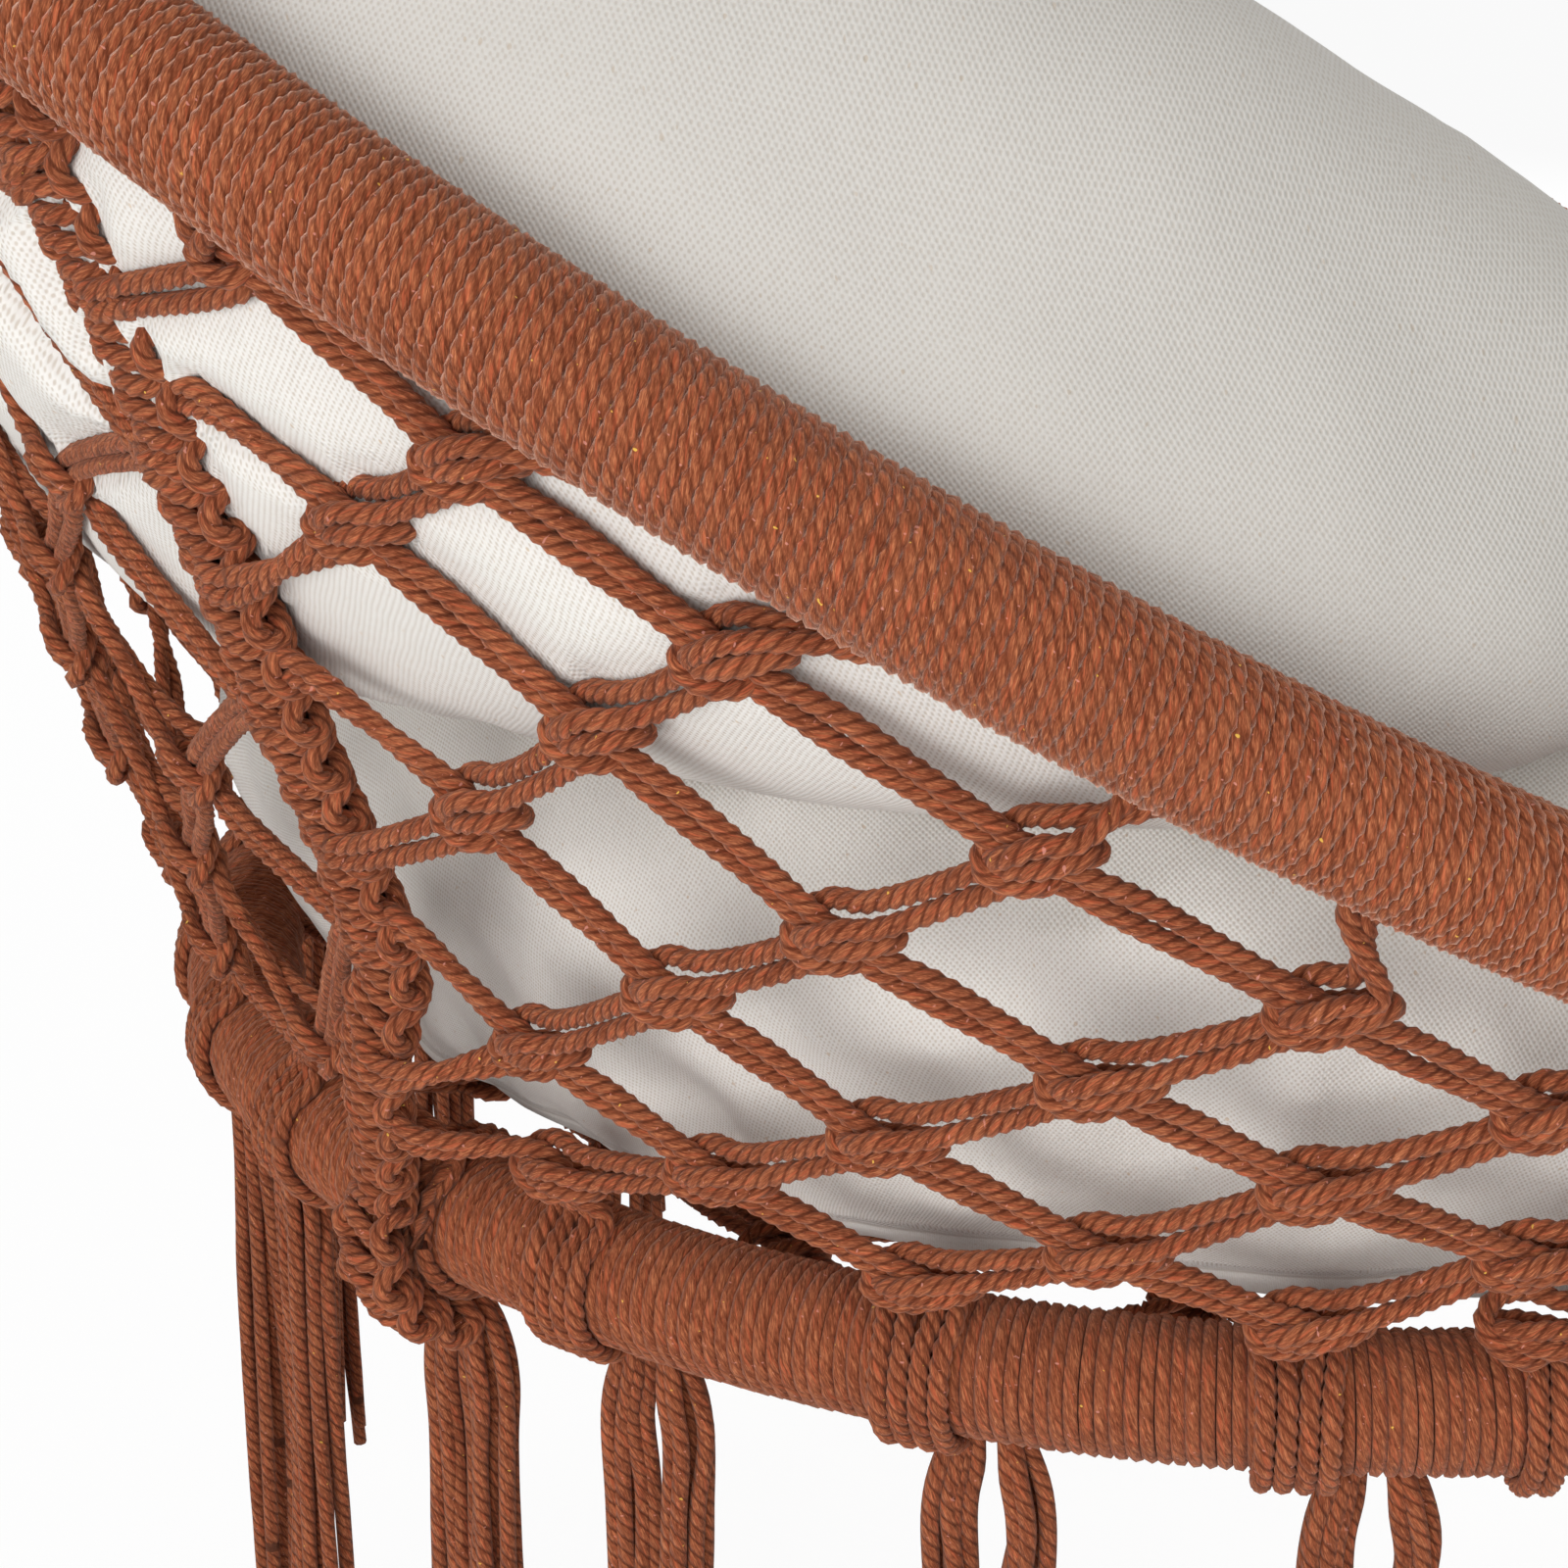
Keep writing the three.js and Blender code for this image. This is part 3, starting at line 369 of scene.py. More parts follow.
def addStage():
    shape = bmesh.new()
    bmesh.ops.create_grid(shape, x_segments=1, y_segments=1, size=stage["half"])
    bmesh.ops.translate(shape, verts=shape.verts, vec=(0, 0, stage["height"]))
    mesh = bpy.data.meshes.new("floor")
    shape.to_mesh(mesh)
    shape.free()
    floor = bpy.data.objects.new("floor", mesh)
    scene.collection.objects.link(floor)
    finish = Finish("pale floor", None)
    finish.set(Base_Color=stage["colour"], Roughness=0.8)
    ray = finish.node("ShaderNodeLightPath").link.node.outputs
    direct, mirror = Socket(finish, ray["Is Camera Ray"]), Socket(finish, ray["Is Glossy Ray"])
    inputs = {"Color": (1, 1, 1), "Strength": stage["bright"]}
    white = finish.node("ShaderNodeEmission", None, inputs)
    plain = Socket(finish, finish.surface.outputs[0])
    seen = (direct + mirror) * stage["share"]
    mixed = finish.node("ShaderNodeMixShader", None, {0: seen, 1: plain, 2: white})
    finish.plug(mixed, finish.tree.nodes["Material Output"].inputs["Surface"])
    mesh.materials.append(finish.material)
    world = bpy.data.worlds.new("studio")
    world.use_nodes = True
    sky = Shader(world.node_tree)
    background = sky.tree.nodes["Background"]
    direct = Socket(sky, sky.node("ShaderNodeLightPath").link.node.outputs["Is Camera Ray"])
    inputs = {"Value": direct, "To Min": stage["sky"], "To Max": stage["backdrop"]}
    sky.plug((1, 1, 1), background.inputs["Color"])
    sky.plug(sky.node("ShaderNodeMapRange", None, inputs), background.inputs["Strength"])
    scene.world = world


# Places on the hoops and on the net between them. Degrees run from the left side to the back.


def outward(degrees):
    angle = math.radians(degrees)
    return Vector((-math.cos(angle), math.sin(angle), 0))


def onRim(degrees):
    out, tilt = outward(degrees) * chair["rimRadius"], chair["rimTilt"]
    return Vector((out.x, out.y * math.cos(tilt), out.y * math.sin(tilt))) + chair["rimMiddle"]


seatMiddle = onRim(-90) + Vector((0, chair["seatRadius"], 0))
seatMiddle += Vector((0, -1, -1)).normalized() * chair["hoopOffset"]


def onSeatHoop(degrees):
    return seatMiddle + outward(degrees) * chair["seatRadius"]


def onNet(degrees, share):
    bow = outward(degrees) * chair["netBulge"] * 4 * share * (1 - share)
    return onRim(degrees).lerp(onSeatHoop(degrees), share) + bow


def netNormal(degrees, share):
    down = onNet(degrees, share + 0.01) - onNet(degrees, share - 0.01)
    across = onNet(degrees + 2, share) - onNet(degrees - 2, share)
    return across.cross(down).normalized()


def alongHoop(hoop, degrees):
    return (hoop(degrees + 1) - hoop(degrees - 1)).normalized()


# Beside a hoop, on the side of a place that a cord comes from
def landing(hoop, degrees, origin, clear):
    along = alongHoop(hoop, degrees)
    across = origin - hoop(degrees)
    across = (across - along * across.dot(along)).normalized()
    return hoop(degrees) + across * clear


def seatDegreesOf(place):
    return math.degrees(math.atan2(place.y - seatMiddle.y, seatMiddle.x - place.x))


# Cords. A path is a list of control points, smoothed and cut into even steps, and a piece is a set
# of paths with one section drawn along them.


# A smooth line through the points, cut into even steps
def evenPath(points, step):
    points = [Vector(p) for p in points]
    ends = [points[0] * 2 - points[1], *points, points[-1] * 2 - points[-2]]
    fine = []
    for a, b, c, d in zip(ends, ends[1:], ends[2:], ends[3:]):
        count = max(2, round((c - b).length / step * 2))
        knots = [0]
        for p, q in ((a, b), (b, c), (c, d)):
            knots.append(knots[-1] + max((q - p).length, 1e-6) ** 0.5)
        for i in range(count):
            t = knots[1] + (knots[2] - knots[1]) * i / count
            ab = a.lerp(b, (t - knots[0]) / (knots[1] - knots[0]))
            bc = b.lerp(c, (t - knots[1]) / (knots[2] - knots[1]))
            cd = c.lerp(d, (t - knots[2]) / (knots[3] - knots[2]))
            abc = ab.lerp(bc, (t - knots[0]) / (knots[2] - knots[0]))
            bcd = bc.lerp(cd, (t - knots[1]) / (knots[3] - knots[1]))
            fine.append(abc.lerp(bcd, (t - knots[1]) / (knots[2] - knots[1])))
    fine.append(points[-1])
    line = np.array(fine)
    reach = np.concatenate(([0], np.cumsum(np.linalg.norm(np.diff(line, axis=0), axis=1))))
    count = max(3, round(reach[-1] / step))
    places = np.linspace(0, reach[-1], count + 1)
    return np.stack([np.interp(places, reach, line[:, i]) for i in range(3)], axis=1)


sections = {}


# The outline of a cord, with three lobes where its plies are part of its shape
def section(radius, sides, lobes):
    key = (radius, sides, lobes)
    if key not in sections:
        data = bpy.data.curves.new("section", "CURVE")
        data.dimensions = "2D"
        outline = data.splines.new("POLY")
        outline.points.add(sides - 1)
        outline.use_cyclic_u = True
        for i, point in enumerate(outline.points):
            angle = 2 * math.pi * i / sides
            swell = 1 + lobes * (math.cos(3 * angle) - 0.15)
            point.co = (radius * swell * math.cos(angle), radius * swell * math.sin(angle), 0, 1)
        sections[key] = bpy.data.objects.new("section", data)
        scene.collection.objects.link(sections[key])
    return sections[key]


fineCord = {"radius": 0.00222, "sides": 12, "lobes": 0.13, "step": 0.00105}
plainCord = {"radius": 0.00222, "sides": 9, "lobes": 0.14, "step": 0.0017}
roundCord = {"radius": 0.0021, "sides": 8, "lobes": 0, "step": 0.003}

# How far a cord's twist and width wander, and over what length
uneven = {"twist": 0.6, "twistLength": 0.022, "width": 0.035, "widthLength": 0.009}


# Slow changes along a cord, between -1 and 1
def drift(reach, length):
    waves = [np.sin(reach / length * speed + chance.uniform(0, 6)) for speed in (1, 1.7, 2.9)]
    return sum(waves) / 3


# Draws a section along every path of a piece and returns one mesh object
def cordPiece(name, paths, cord, finish, body="chair", replaces=()):
    data = bpy.data.curves.new(name, "CURVE")
    data.dimensions = "3D"
    data.twist_mode = "MINIMUM"
    data.bevel_mode = "OBJECT"
    data.bevel_object = section(cord["radius"], cord["sides"], cord["lobes"])
    data.use_fill_caps = True
    lengths = []
    for path in paths:
        spline = data.splines.new("POLY")
        spline.points.add(len(path) - 1)
        places = np.ones((len(path), 4), np.float32)
        places[:, :3] = path
        spline.points.foreach_set("co", places.ravel())
        reach = np.concatenate(([0], np.cumsum(np.linalg.norm(np.diff(path, axis=0), axis=1))))
        lengths.append(reach[-1])
        if cord["lobes"]:
            turns = reach * 2 * math.pi / chair["lay"]
            turns = turns + drift(reach, uneven["twistLength"]) * uneven["twist"]
            spline.points.foreach_set("tilt", (-turns).astype(np.float32))
        wide = 1 + uneven["width"] * drift(reach, uneven["widthLength"])
        spline.points.foreach_set("radius", wide.astype(np.float32))
    curve = bpy.data.objects.new(name, data)
    scene.collection.objects.link(curve)
    depsgraph = bpy.context.evaluated_depsgraph_get()
    mesh = bpy.data.meshes.new_from_object(curve.evaluated_get(depsgraph))
    bpy.data.objects.remove(curve)
    scaleMap(mesh, [(len(path) + 2) * cord["sides"] for path in paths], lengths)
    shape = bmesh.new()
    shape.from_mesh(mesh)
    bmesh.ops.remove_doubles(shape, verts=shape.verts, dist=1e-7)
    bmesh.ops.recalc_face_normals(shape, faces=shape.faces)
    for face in shape.faces:
        face.smooth = True
    shape.to_mesh(mesh)
    shape.free()
    mesh.materials.clear()
    return placePiece(name, mesh, finish, body, replaces)


# The map that a curve gives runs from 0 to 1 along each spline: make it run in lays
def scaleMap(mesh, counts, lengths):
    corners = np.empty(len(mesh.loops), np.int32)
    mesh.loops.foreach_get("vertex_index", corners)
    spline = np.searchsorted(np.cumsum(counts), corners, side="right")
    values = np.empty(len(mesh.loops) * 2, np.float32)
    mesh.uv_layers[0].data.foreach_get("uv", values)
    values = values.reshape(-1, 2)
    offsets = np.array([chance.uniform(0, 90) for _ in lengths])
    values[:, 0] = values[:, 0] * (np.array(lengths) / chair["lay"])[spline] + offsets[spline]
    mesh.uv_layers[0].data.foreach_set("uv", values.ravel())


# Every new piece rides on a body and may stand for nodes of the frame
def placePiece(name, mesh, finish, body="chair", replaces=()):
    mesh.name = name
    piece = bpy.data.objects.new(name, mesh)
    scene.collection.objects.link(piece)
    mesh.materials.append(finish.material)
    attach(piece, body)
    if replaces:
        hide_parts(*replaces)
    return piece


# A knot of the net in its own directions, in millimetres: along the core cords (down), along the
# working cords (up, where they come from) and out of the net. One cord makes both bars in front
# of the core, and the other passes behind it and locks the first one's turn.

knotFront = [
    (-0.3, 11.9, 2.4), (-4.4, 6.8, 4.2), (-5.2, 2.1, 4.6), (-4.9, -2.5, 3.0), (-3.9, -4.6, 1.6),
    (-2.4, -3.2, 3.2), (-0.5, 1.8, 4.7), (1.8, 6.6, 4.2), (3.9, 9.6, 2.0), (5.9, 9.2, -0.8),
    (6.1, 5.9, -3.6), (3.7, 0.5, -4.5), (0.5, -4.1, -3.8), (-1.3, -7.8, -1.4),
]
knotBehind = [
    (-4.0, 10.3, -2.5), (-6.2, 4.1, -4.2), (-6.9, -1.6, -3.0), (-6.2, -5.2, 0.6), (-4.2, -6.5, 3.2),
    (-1.6, -6.2, 3.9), (1.8, -5.2, 3.8), (4.9, -3.3, 2.6), (6.6, -1.9, 0.2), (6.4, -2.6, -2.8),
    (5.6, -5.2, -3.4), (4.4, -9.0, -1.2),
]
netCord = {
    "gap": 0.00215, "slit": 0.0031, "pinch": 0.00195, "tuck": 0.011,
    "knot": 0.006,  # from a knot's middle to where its core leaves it
    "open": 0.026,  # knots nearer than this have no slit between them
    "across": 0.0021, "front": 0.0012, "behind": 0.0008,
    "inside": 0.004,  # behind the rim's middle, where a pair leaves it
}


class NetKnot:
    def __init__(self, place, normal, tied=False):
        self.place = place
        self.normal = normal
        self.tied = tied
        self.core = None
        self.work = None

    def at(self, u, v, w):
        return self.place + (self.core * u + self.work * v + self.normal * w) * 0.001


# Two core cords, side by side through every knot of a line, with a slit after each knot
def corePaths(start, knots, end):
    paths = []
    for side in (1, -1):
        points = list(start(side))
        for i, knot in enumerate(knots):
            across = knot.normal.cross(knot.core) * side
            for reach in (-netCord["knot"], netCord["knot"]):
                points.append(knot.place + knot.core * reach + across * netCord["pinch"])
            after = knots[i + 1] if i + 1 < len(knots) else None
            if after and (after.place - knot.place).length > netCord["open"]:
                line = after.place - knot.place
                middle = knot.normal.lerp(after.normal, 0.4).cross(line.normalized()) * side
                points.append(knot.place + line * 0.38 + middle * netCord["slit"])
                points.append(knot.place + line * 0.66 + middle * netCord["gap"])
        points += list(end(side))
        paths.append(points)
    return paths


# Two working cords, which tie each knot of their line and change places from one to the next
def workPaths(start, knots, end):
    lines = [list(start(1)), list(start(-1))]
    for i, knot in enumerate(knots):
        front, behind = (0, 1) if i % 2 == 0 else (1, 0)
        if i:
            before = knots[i - 1]
            line = knot.place - before.place
            room = line.length - 0.02
            if room > 0.016:
                normal = knot.normal.lerp(before.normal, 0.5)
                across = normal.cross(line.normalized()) * netCord["across"]
                middle = before.place.lerp(knot.place, 0.52)
                lines[front].append(middle + across + normal * netCord["front"])
                lines[behind].append(middle - across - normal * netCord["behind"])
        lines[front] += [knot.at(*p) for p in knotFront]
        lines[behind] += [knot.at(*p) for p in knotBehind]
    lines[0] += list(end(1))
    lines[1] += list(end(-1))
    return lines


# Beneath the rim's winding, the cords of a pair side by side
def fromRim(degrees, target, shift=0.0):
    along = alongHoop(onRim, degrees)
    inner = landing(onRim, degrees, target, netCord["tuck"])
    outer = landing(onRim, degrees, target, chair["wrap"] + netCord["inside"])
    inside = outward(degrees) * -netCord["inside"]

    def points(side):
        step = along * (chair["pair"] * side + shift)
        return [inner + step + inside, outer + step + inside * 0.5]

    return points


# Degrees round the hoop from its top, and the share of the reach at each
hoopTurn = [(20, 1.06), (60, 1), (105, 1), (150, 1), (195, 1), (235, 0.98), (262, 0.78)]


# Down over the outside of the seat hoop, round under it and into its winding
def overSeatHoop(degrees, shift=0.0):
    middle, along, out = onSeatHoop(degrees), alongHoop(onSeatHoop, degrees), outward(degrees)
    reach = chair["wrap"] + 0.0019

    def points(side):
        foot = middle + along * (chair["pair"] * side + shift)
        turns = [(math.radians(a), reach * share) for a, share in hoopTurn]
        return [foot + (Vector((0, 0, math.cos(a))) + out * math.sin(a)) * r for a, r in turns]

    return points


# Knots of the side net that were placed one by one: degrees and share of the way down
handSpots = {
    (0, 0): (18.4, 0.095), (1, 0): (11.4, 0.16), (2, 0): (3.9, 0.211), (3, 0): (-4.5, 0.278),
    (4, 0): (-12.8, 0.345), (5, 0): (-19.6, 0.417), (1, 1): (18.2, 0.293), (2, 1): (11.2, 0.373),
    (3, 1): (4.7, 0.483), (4, 1): (-2.8, 0.562), (5, 1): (-9.5, 0.638), (6, 1): (-16.6, 0.703),
    (2, 2): (19, 0.525), (3, 2): (13.5, 0.63), (4, 2): (7.3, 0.725), (5, 2): (0.3, 0.806),
    (6, 2): (-6.4, 0.874), (3, 3): (22.8, 0.761), (4, 3): (16.3, 0.832), (5, 3): (9.6, 0.926),
    (4, 4): (26.2, 0.9), (8, 0): (-40.5, 0.62),
}
sideNet = {
    "columns": 8, "rows": 4, "last": 4,  # the last column of its rear half
    "enter": (0.2, 0.42, 0.66, 0.88), "leave": (0, 0.28, 0.5, 0.74, 0.95),
    "beside": 0.0046,  # from a knot's line to where its pair goes over the hoop
}
wallCords = []  # paths of the cords that the cushions lie against


# Column k and row b of the side net: given one by one, or else by the net's even spacing
def sideKnotSpot(k, b):
    if (k, b) in handSpots:
        return handSpots[k, b]
    degrees = 18.6 - 7.8 * k + 7.3 * b + 0.56 * k * b
    return degrees, 0.065 + 0.079 * k + 0.154 * b + 0.008 * k * b - 0.0012 * k * k


def mirrored(paths):
    return [[Vector((-p[0], p[1], p[2])) for p in path] for path in paths]


# The line of a braid: share of the way down, metres along the hoops and metres outward. It is drawn
# towards the front by the net, passes over the outside of the seat hoop and ends beneath it.
braidBow = {
    "back": [
        (0, 0, 0), (0.09, -0.01, 0.003), (0.18, -0.017, 0.005), (0.27, -0.021, 0.006),
        (0.4, -0.0235, 0.008), (0.55, -0.0245, 0.008), (0.7, -0.0245, 0.007),
        (0.78, -0.0225, 0.007), (0.86, -0.015, 0.014),
    ],
    "front": [(0, 0, 0), (0.2, 0, 0.003), (0.4, 0, 0.006), (0.6, 0, 0.01)],
}
braidRound = [(58, 0.027), (85, 0.0272), (112, 0.0268), (140, 0.0258), (165, 0.0248)]
braidReach = 0.0225  # from a hoop's middle to a braid's


# Gives a braid's place, its way and its outward side at any share of its length
def braidLine(name, rimDegrees, seatDegrees):
    top = landing(onRim, rimDegrees, onSeatHoop(seatDegrees), braidReach)
    foot = landing(onSeatHoop, seatDegrees, onRim(rimDegrees), braidReach)
    middle = (rimDegrees + seatDegrees) / 2
    out = outward(middle)
    along = Vector((out.y, -out.x, 0))
    places = [top.lerp(foot, share) + along * a + out * b for share, a, b in braidBow[name]]
    hoop, lift = onSeatHoop(seatDegrees), outward(seatDegrees)
    for angle, reach in braidRound:
        turn = math.radians(angle)
        places.append(hoop + (Vector((0, 0, math.cos(turn))) + lift * math.sin(turn)) * reach)
    hoopWay = alongHoop(onSeatHoop, seatDegrees)
    line = evenPath(places, 0.002)
    last = len(line) - 1
    size = (Vector(line[1]) - Vector(line[0])).length * last

    def spot(share):
        i = min(max(share, 0), 1) * last
        low = min(int(i), last - 1)
        place = Vector(line[low]).lerp(Vector(line[low + 1]), i - low)
        way = (Vector(line[min(low + 2, last)]) - Vector(line[max(low - 1, 0)])).normalized()
        radial = place - hoop
        radial = (radial - hoopWay * radial.dot(hoopWay)).normalized()
        near = min(1, max(0, 1.6 - (place - hoop).length / 0.03))
        normal = out.lerp(radial, near)
        return place, way, (normal - way * normal.dot(way)).normalized()

    spot.size = size
    spot.hang = (foot - top).length * 0.97 / size  # the part of it that hangs free
    return spot


backBraidSpot, frontBraidSpot = (
    braidLine(name, chair[name + "Braid"], chair[name + "Braid"] + chair["braidSpread"])
    for name in ("back", "front")
)


# Cords of the left side net, as (core or working, column or row, points)
def sideNetCords():
    knots, feet = {}, {}
    for k in range(sideNet["columns"] + 1):
        for b in range(min(k, sideNet["rows"]) + 1):
            above = knots.get((k, b - 1))
            if b and (above is None or above.tied):
                continue
            degrees, share = sideKnotSpot(k, b)
            place = onNet(degrees, share)
            hoopDegrees = seatDegreesOf(place)
            room = (place - onSeatHoop(hoopDegrees)).length - chair["wrap"]
            lands = share > 0.99 or room < 0.00625
            tied = lands or room < 0.02
            if tied and room < 0.0125:
                place = landing(onSeatHoop, hoopDegrees, onNet(degrees, 0.5), chair["wrap"] + 0.011)
            knots[k, b] = NetKnot(place, netNormal(degrees, min(share, 0.97)), tied)
            feet[k, b] = hoopDegrees

    def sideStart(share, r):  # out of the back braid, where a row of the net leaves it
        place, line, normal = backBraidSpot(share * backBraidSpot.hang)
        side = line.cross(normal) * -1

        def points(s):
            return [
                place + side * 0.001 * (r - 6) + normal * 0.0015 + line * chair["pair"] * s,
                place + side * 0.001 * (r + 6) + normal * 0.002 + line * chair["pair"] * s,
            ]

        return points

    cords = []
    for b in range(sideNet["rows"] + 1):  # rows run down to the front
        row = []
        for k in range(b, sideNet["columns"] + 1):
            if (k, b) not in knots or (row and row[-1].tied):
                break
            row.append(knots[k, b])
            last = (k, b)
        cords.append(("core", b, row, last))
    for k in range(sideNet["columns"] + 1):
        column = []
        for b in range(min(k, sideNet["rows"]) + 1):
            if (k, b) not in knots or (column and column[-1].tied):
                break
            column.append(knots[k, b])
            last = (k, b)
        cords.append(("work", k, column, last))

    for kind, n, line, last in cords:  # each knot's own directions
        for i, knot in enumerate(line):
            near = line[max(i - 1, 0)].place, line[min(i + 1, len(line) - 1)].place
            way = near[1] - near[0]
            if len(line) == 1 or way.length < 1e-6:
                way = Vector((0, -0.5, -1)) if kind == "core" else Vector((0, 0.5, -1))
            way = (way - knot.normal * way.dot(knot.normal)).normalized()
            if kind == "core":
                knot.core = way
            else:
                knot.work = -way
    for knot in knots.values():
        if knot.core is None:
            knot.core = Vector((0, -0.7, -0.7))
        if knot.work is None:
            knot.work = Vector((0, -0.7, 0.7))

    paths = []
    for kind, n, line, last in cords:
        if not line:
            continue
        k, b = last
        foot = feet[last]
        if kind == "core":
            if n == 0:
                start = fromRim(20.6, line[0].place)
            else:
                start = sideStart(sideNet["leave"][n], 9)
            if line[-1].tied:
                end = overSeatHoop(foot, sideNet["beside"])
            else:
                place, down, normal = frontBraidSpot(0.5 * frontBraidSpot.hang)
                side = down.cross(normal)
                end = lambda s: [place + side * 0.010 + normal * 0.002 + down * chair["pair"] * s]
            paths += [("core", n, p) for p in corePaths(start, line, end)]
        else:
            degrees = max(sideKnotSpot(n + 1, 0)[0], chair["frontBraid"] + 6) if n else 16.4
            start = fromRim(degrees, line[0].place)
            if line[-1].tied:
                end = overSeatHoop(foot, -sideNet["beside"])
            elif n < len(sideNet["enter"]):
                place, down, normal = backBraidSpot(sideNet["enter"][n] * backBraidSpot.hang)
                side = down.cross(normal) * -1
                end = lambda s: [
                    place + side * a + normal * b - down * chair["pair"] * s
                    for a, b in ((0.010, 0.006), (0.003, 0.0065), (-0.003, 0.003))
                ]
            else:
                end = overSeatHoop(foot)
            paths += [("work", n, p) for p in workPaths(start, line, end)]
    return paths


def addSideNets(finish):
    cords = sideNetCords()
    halves = {"rear": [], "fore": []}
    for kind, n, points in cords:
        halves["rear" if kind == "core" or n <= sideNet["last"] else "fore"].append(points)
    for half, paths in halves.items():
        for side, cord, own in (("left", fineCord, paths), ("right", plainCord, mirrored(paths))):
            even = [evenPath(p, cord["step"]) for p in own]
            node = f"{side}_side_net_{half}"
            cordPiece(f"{side}_net_cords_{half}", even, cord, finish, replaces=[node])
            wallCords.extend(own)
    print("side nets:", len(cords), "cords a side")


# Windings: one cord in close turns round a hoop

winding = {
    "pitch": 0.0031, "radius": 0.00172, "sides": 6, "lobes": 0, "points": 16, "reach": 0.0144,
}
nearWinding = winding | {
    "radius": 0.00186, "sides": 9, "lobes": 0.15, "points": 54, "reach": 0.01425,
}


# Close turns round a hoop, from one place on it to another
def windingPath(hoop, radius, start, end, cord):
    length = math.radians(end - start) * radius
    count = max(1, round(length / cord["pitch"]))
    path = []
    for i in range(count * cord["points"] + 1):
        share = i / (count * cord["points"])
        degrees = start + (end - start) * share
        turn = 2 * math.pi * count * share
        along = alongHoop(hoop, degrees)
        up = along.cross(outward(degrees)).normalized()
        side = up.cross(along)
        around = side * math.cos(turn) + up * math.sin(turn)
        path.append(hoop(degrees) + around * cord["reach"])
    return np.array(path)


def addWindings(finish, plied):
    back, front, spread = chair["backBraid"], chair["frontBraid"], chair["braidSpread"]
    for name, hoop, radius, rear, fore in (
        ("rim", onRim, chair["rimRadius"], back, front),
        ("seat_hoop", onSeatHoop, chair["seatRadius"], back + spread, front + spread),
    ):
        stops = [rear, 180 - rear, 180 - fore, 360 + fore, 360 + rear]
        for i, side in enumerate(("back", "right", "front", "left")):
            near = side == "left" and name == "rim"
            cord = nearWinding if near else winding
            path = windingPath(hoop, radius, stops[i], stops[i + 1], cord)
            node = name + "_winding_" + side
            cordPiece(node + "_cord", [path], cord, plied if near else finish, replaces=[node])
    print("windings done")


# The back's net, an even diamond net whose lines run both ways from the rim down to the seat hoop

backNet = {"columns": 18, "rows": 9, "beside": 0.0045}


# Degrees and share of the way down
def backSpot(i, j):
    share = j / backNet["rows"]
    start = chair["backBraid"] + chair["braidSpread"] * share
    return start + (180 - 2 * start) * i / backNet["columns"], share


# Where a pair goes into a back braid
def braidEntry(share, right, lift):
    place, down, normal = backBraidSpot(share * backBraidSpot.hang)
    side = down.cross(normal)
    flip = Vector((-1, 1, 1)) if right else Vector((1, 1, 1))

    def points(s):
        line = [(0.011, 0.001), (0.004, lift), (-0.003, 0.002)]
        return [(place + side * a + normal * b + down * chair["pair"] * s) * flip for a, b in line]

    return points


def addBackNets(finish):
    columns, rows = backNet["columns"], backNet["rows"]
    knots = {}
    for j in range(1, rows):
        for i in range(1, columns):
            if (i + j) % 2:
                degrees, share = backSpot(i, j)
                knots[i, j] = NetKnot(onNet(degrees, share), netNormal(degrees, share))
                for way, name in ((1, "core"), (-1, "work")):
                    line = onNet(*backSpot(i + way, j + 1)) - onNet(*backSpot(i - way, j - 1))
                    line = (line - knots[i, j].normal * line.dot(knots[i, j].normal)).normalized()
                    setattr(knots[i, j], name, line * way)
    pieces = {1: [], -1: []}
    for way in (1, -1):
        for first in range(-rows, columns + rows + 1):
            line = [(first + way * j, j) for j in range(rows + 1)]
            line = [spot for spot in line if 0 <= spot[0] <= columns]
            if len(line) < 2 or (line[0][0] + line[0][1]) % 2 == 0:
                continue
            inner = [knots[p] for p in line if p in knots]
            if not inner:
                continue
            (i, j), (m, n) = line[0], line[-1]
            beside = backNet["beside"] * way
            if j == 0:
                start = fromRim(backSpot(i, 0)[0], inner[0].place, beside)
            else:
                entry = braidEntry(j / rows, i == columns, 0.0055)
                start = lambda s, entry=entry: entry(s)[::-1]
            if n == rows:
                end = overSeatHoop(backSpot(m, rows)[0], beside)
            else:
                end = braidEntry(n / rows, m == columns, 0.004)
            make = corePaths if way == 1 else workPaths
            pieces[way] += make(start, inner, end)
    cord = plainCord | {"sides": 8}
    for way, name, number in ((1, "core", 1), (-1, "tied", 3)):
        paths = [evenPath(p, cord["step"] * 1.2) for p in pieces[way]]
        wallCords.extend(pieces[way])
        nodes = [f"back_net_{number}", f"back_net_{number + 1}"]
        cordPiece("back_net_cords_" + name, paths, cord, finish, replaces=nodes)
    print("back net:", len(pieces[1]) + len(pieces[-1]), "cords")


# The seat's net, square to the hoop and dipped at its middle

seatNet = {"pitch": 0.0485, "sag": 0.02, "edge": 0.2837, "margin": 0.0125, "past": 0.006}


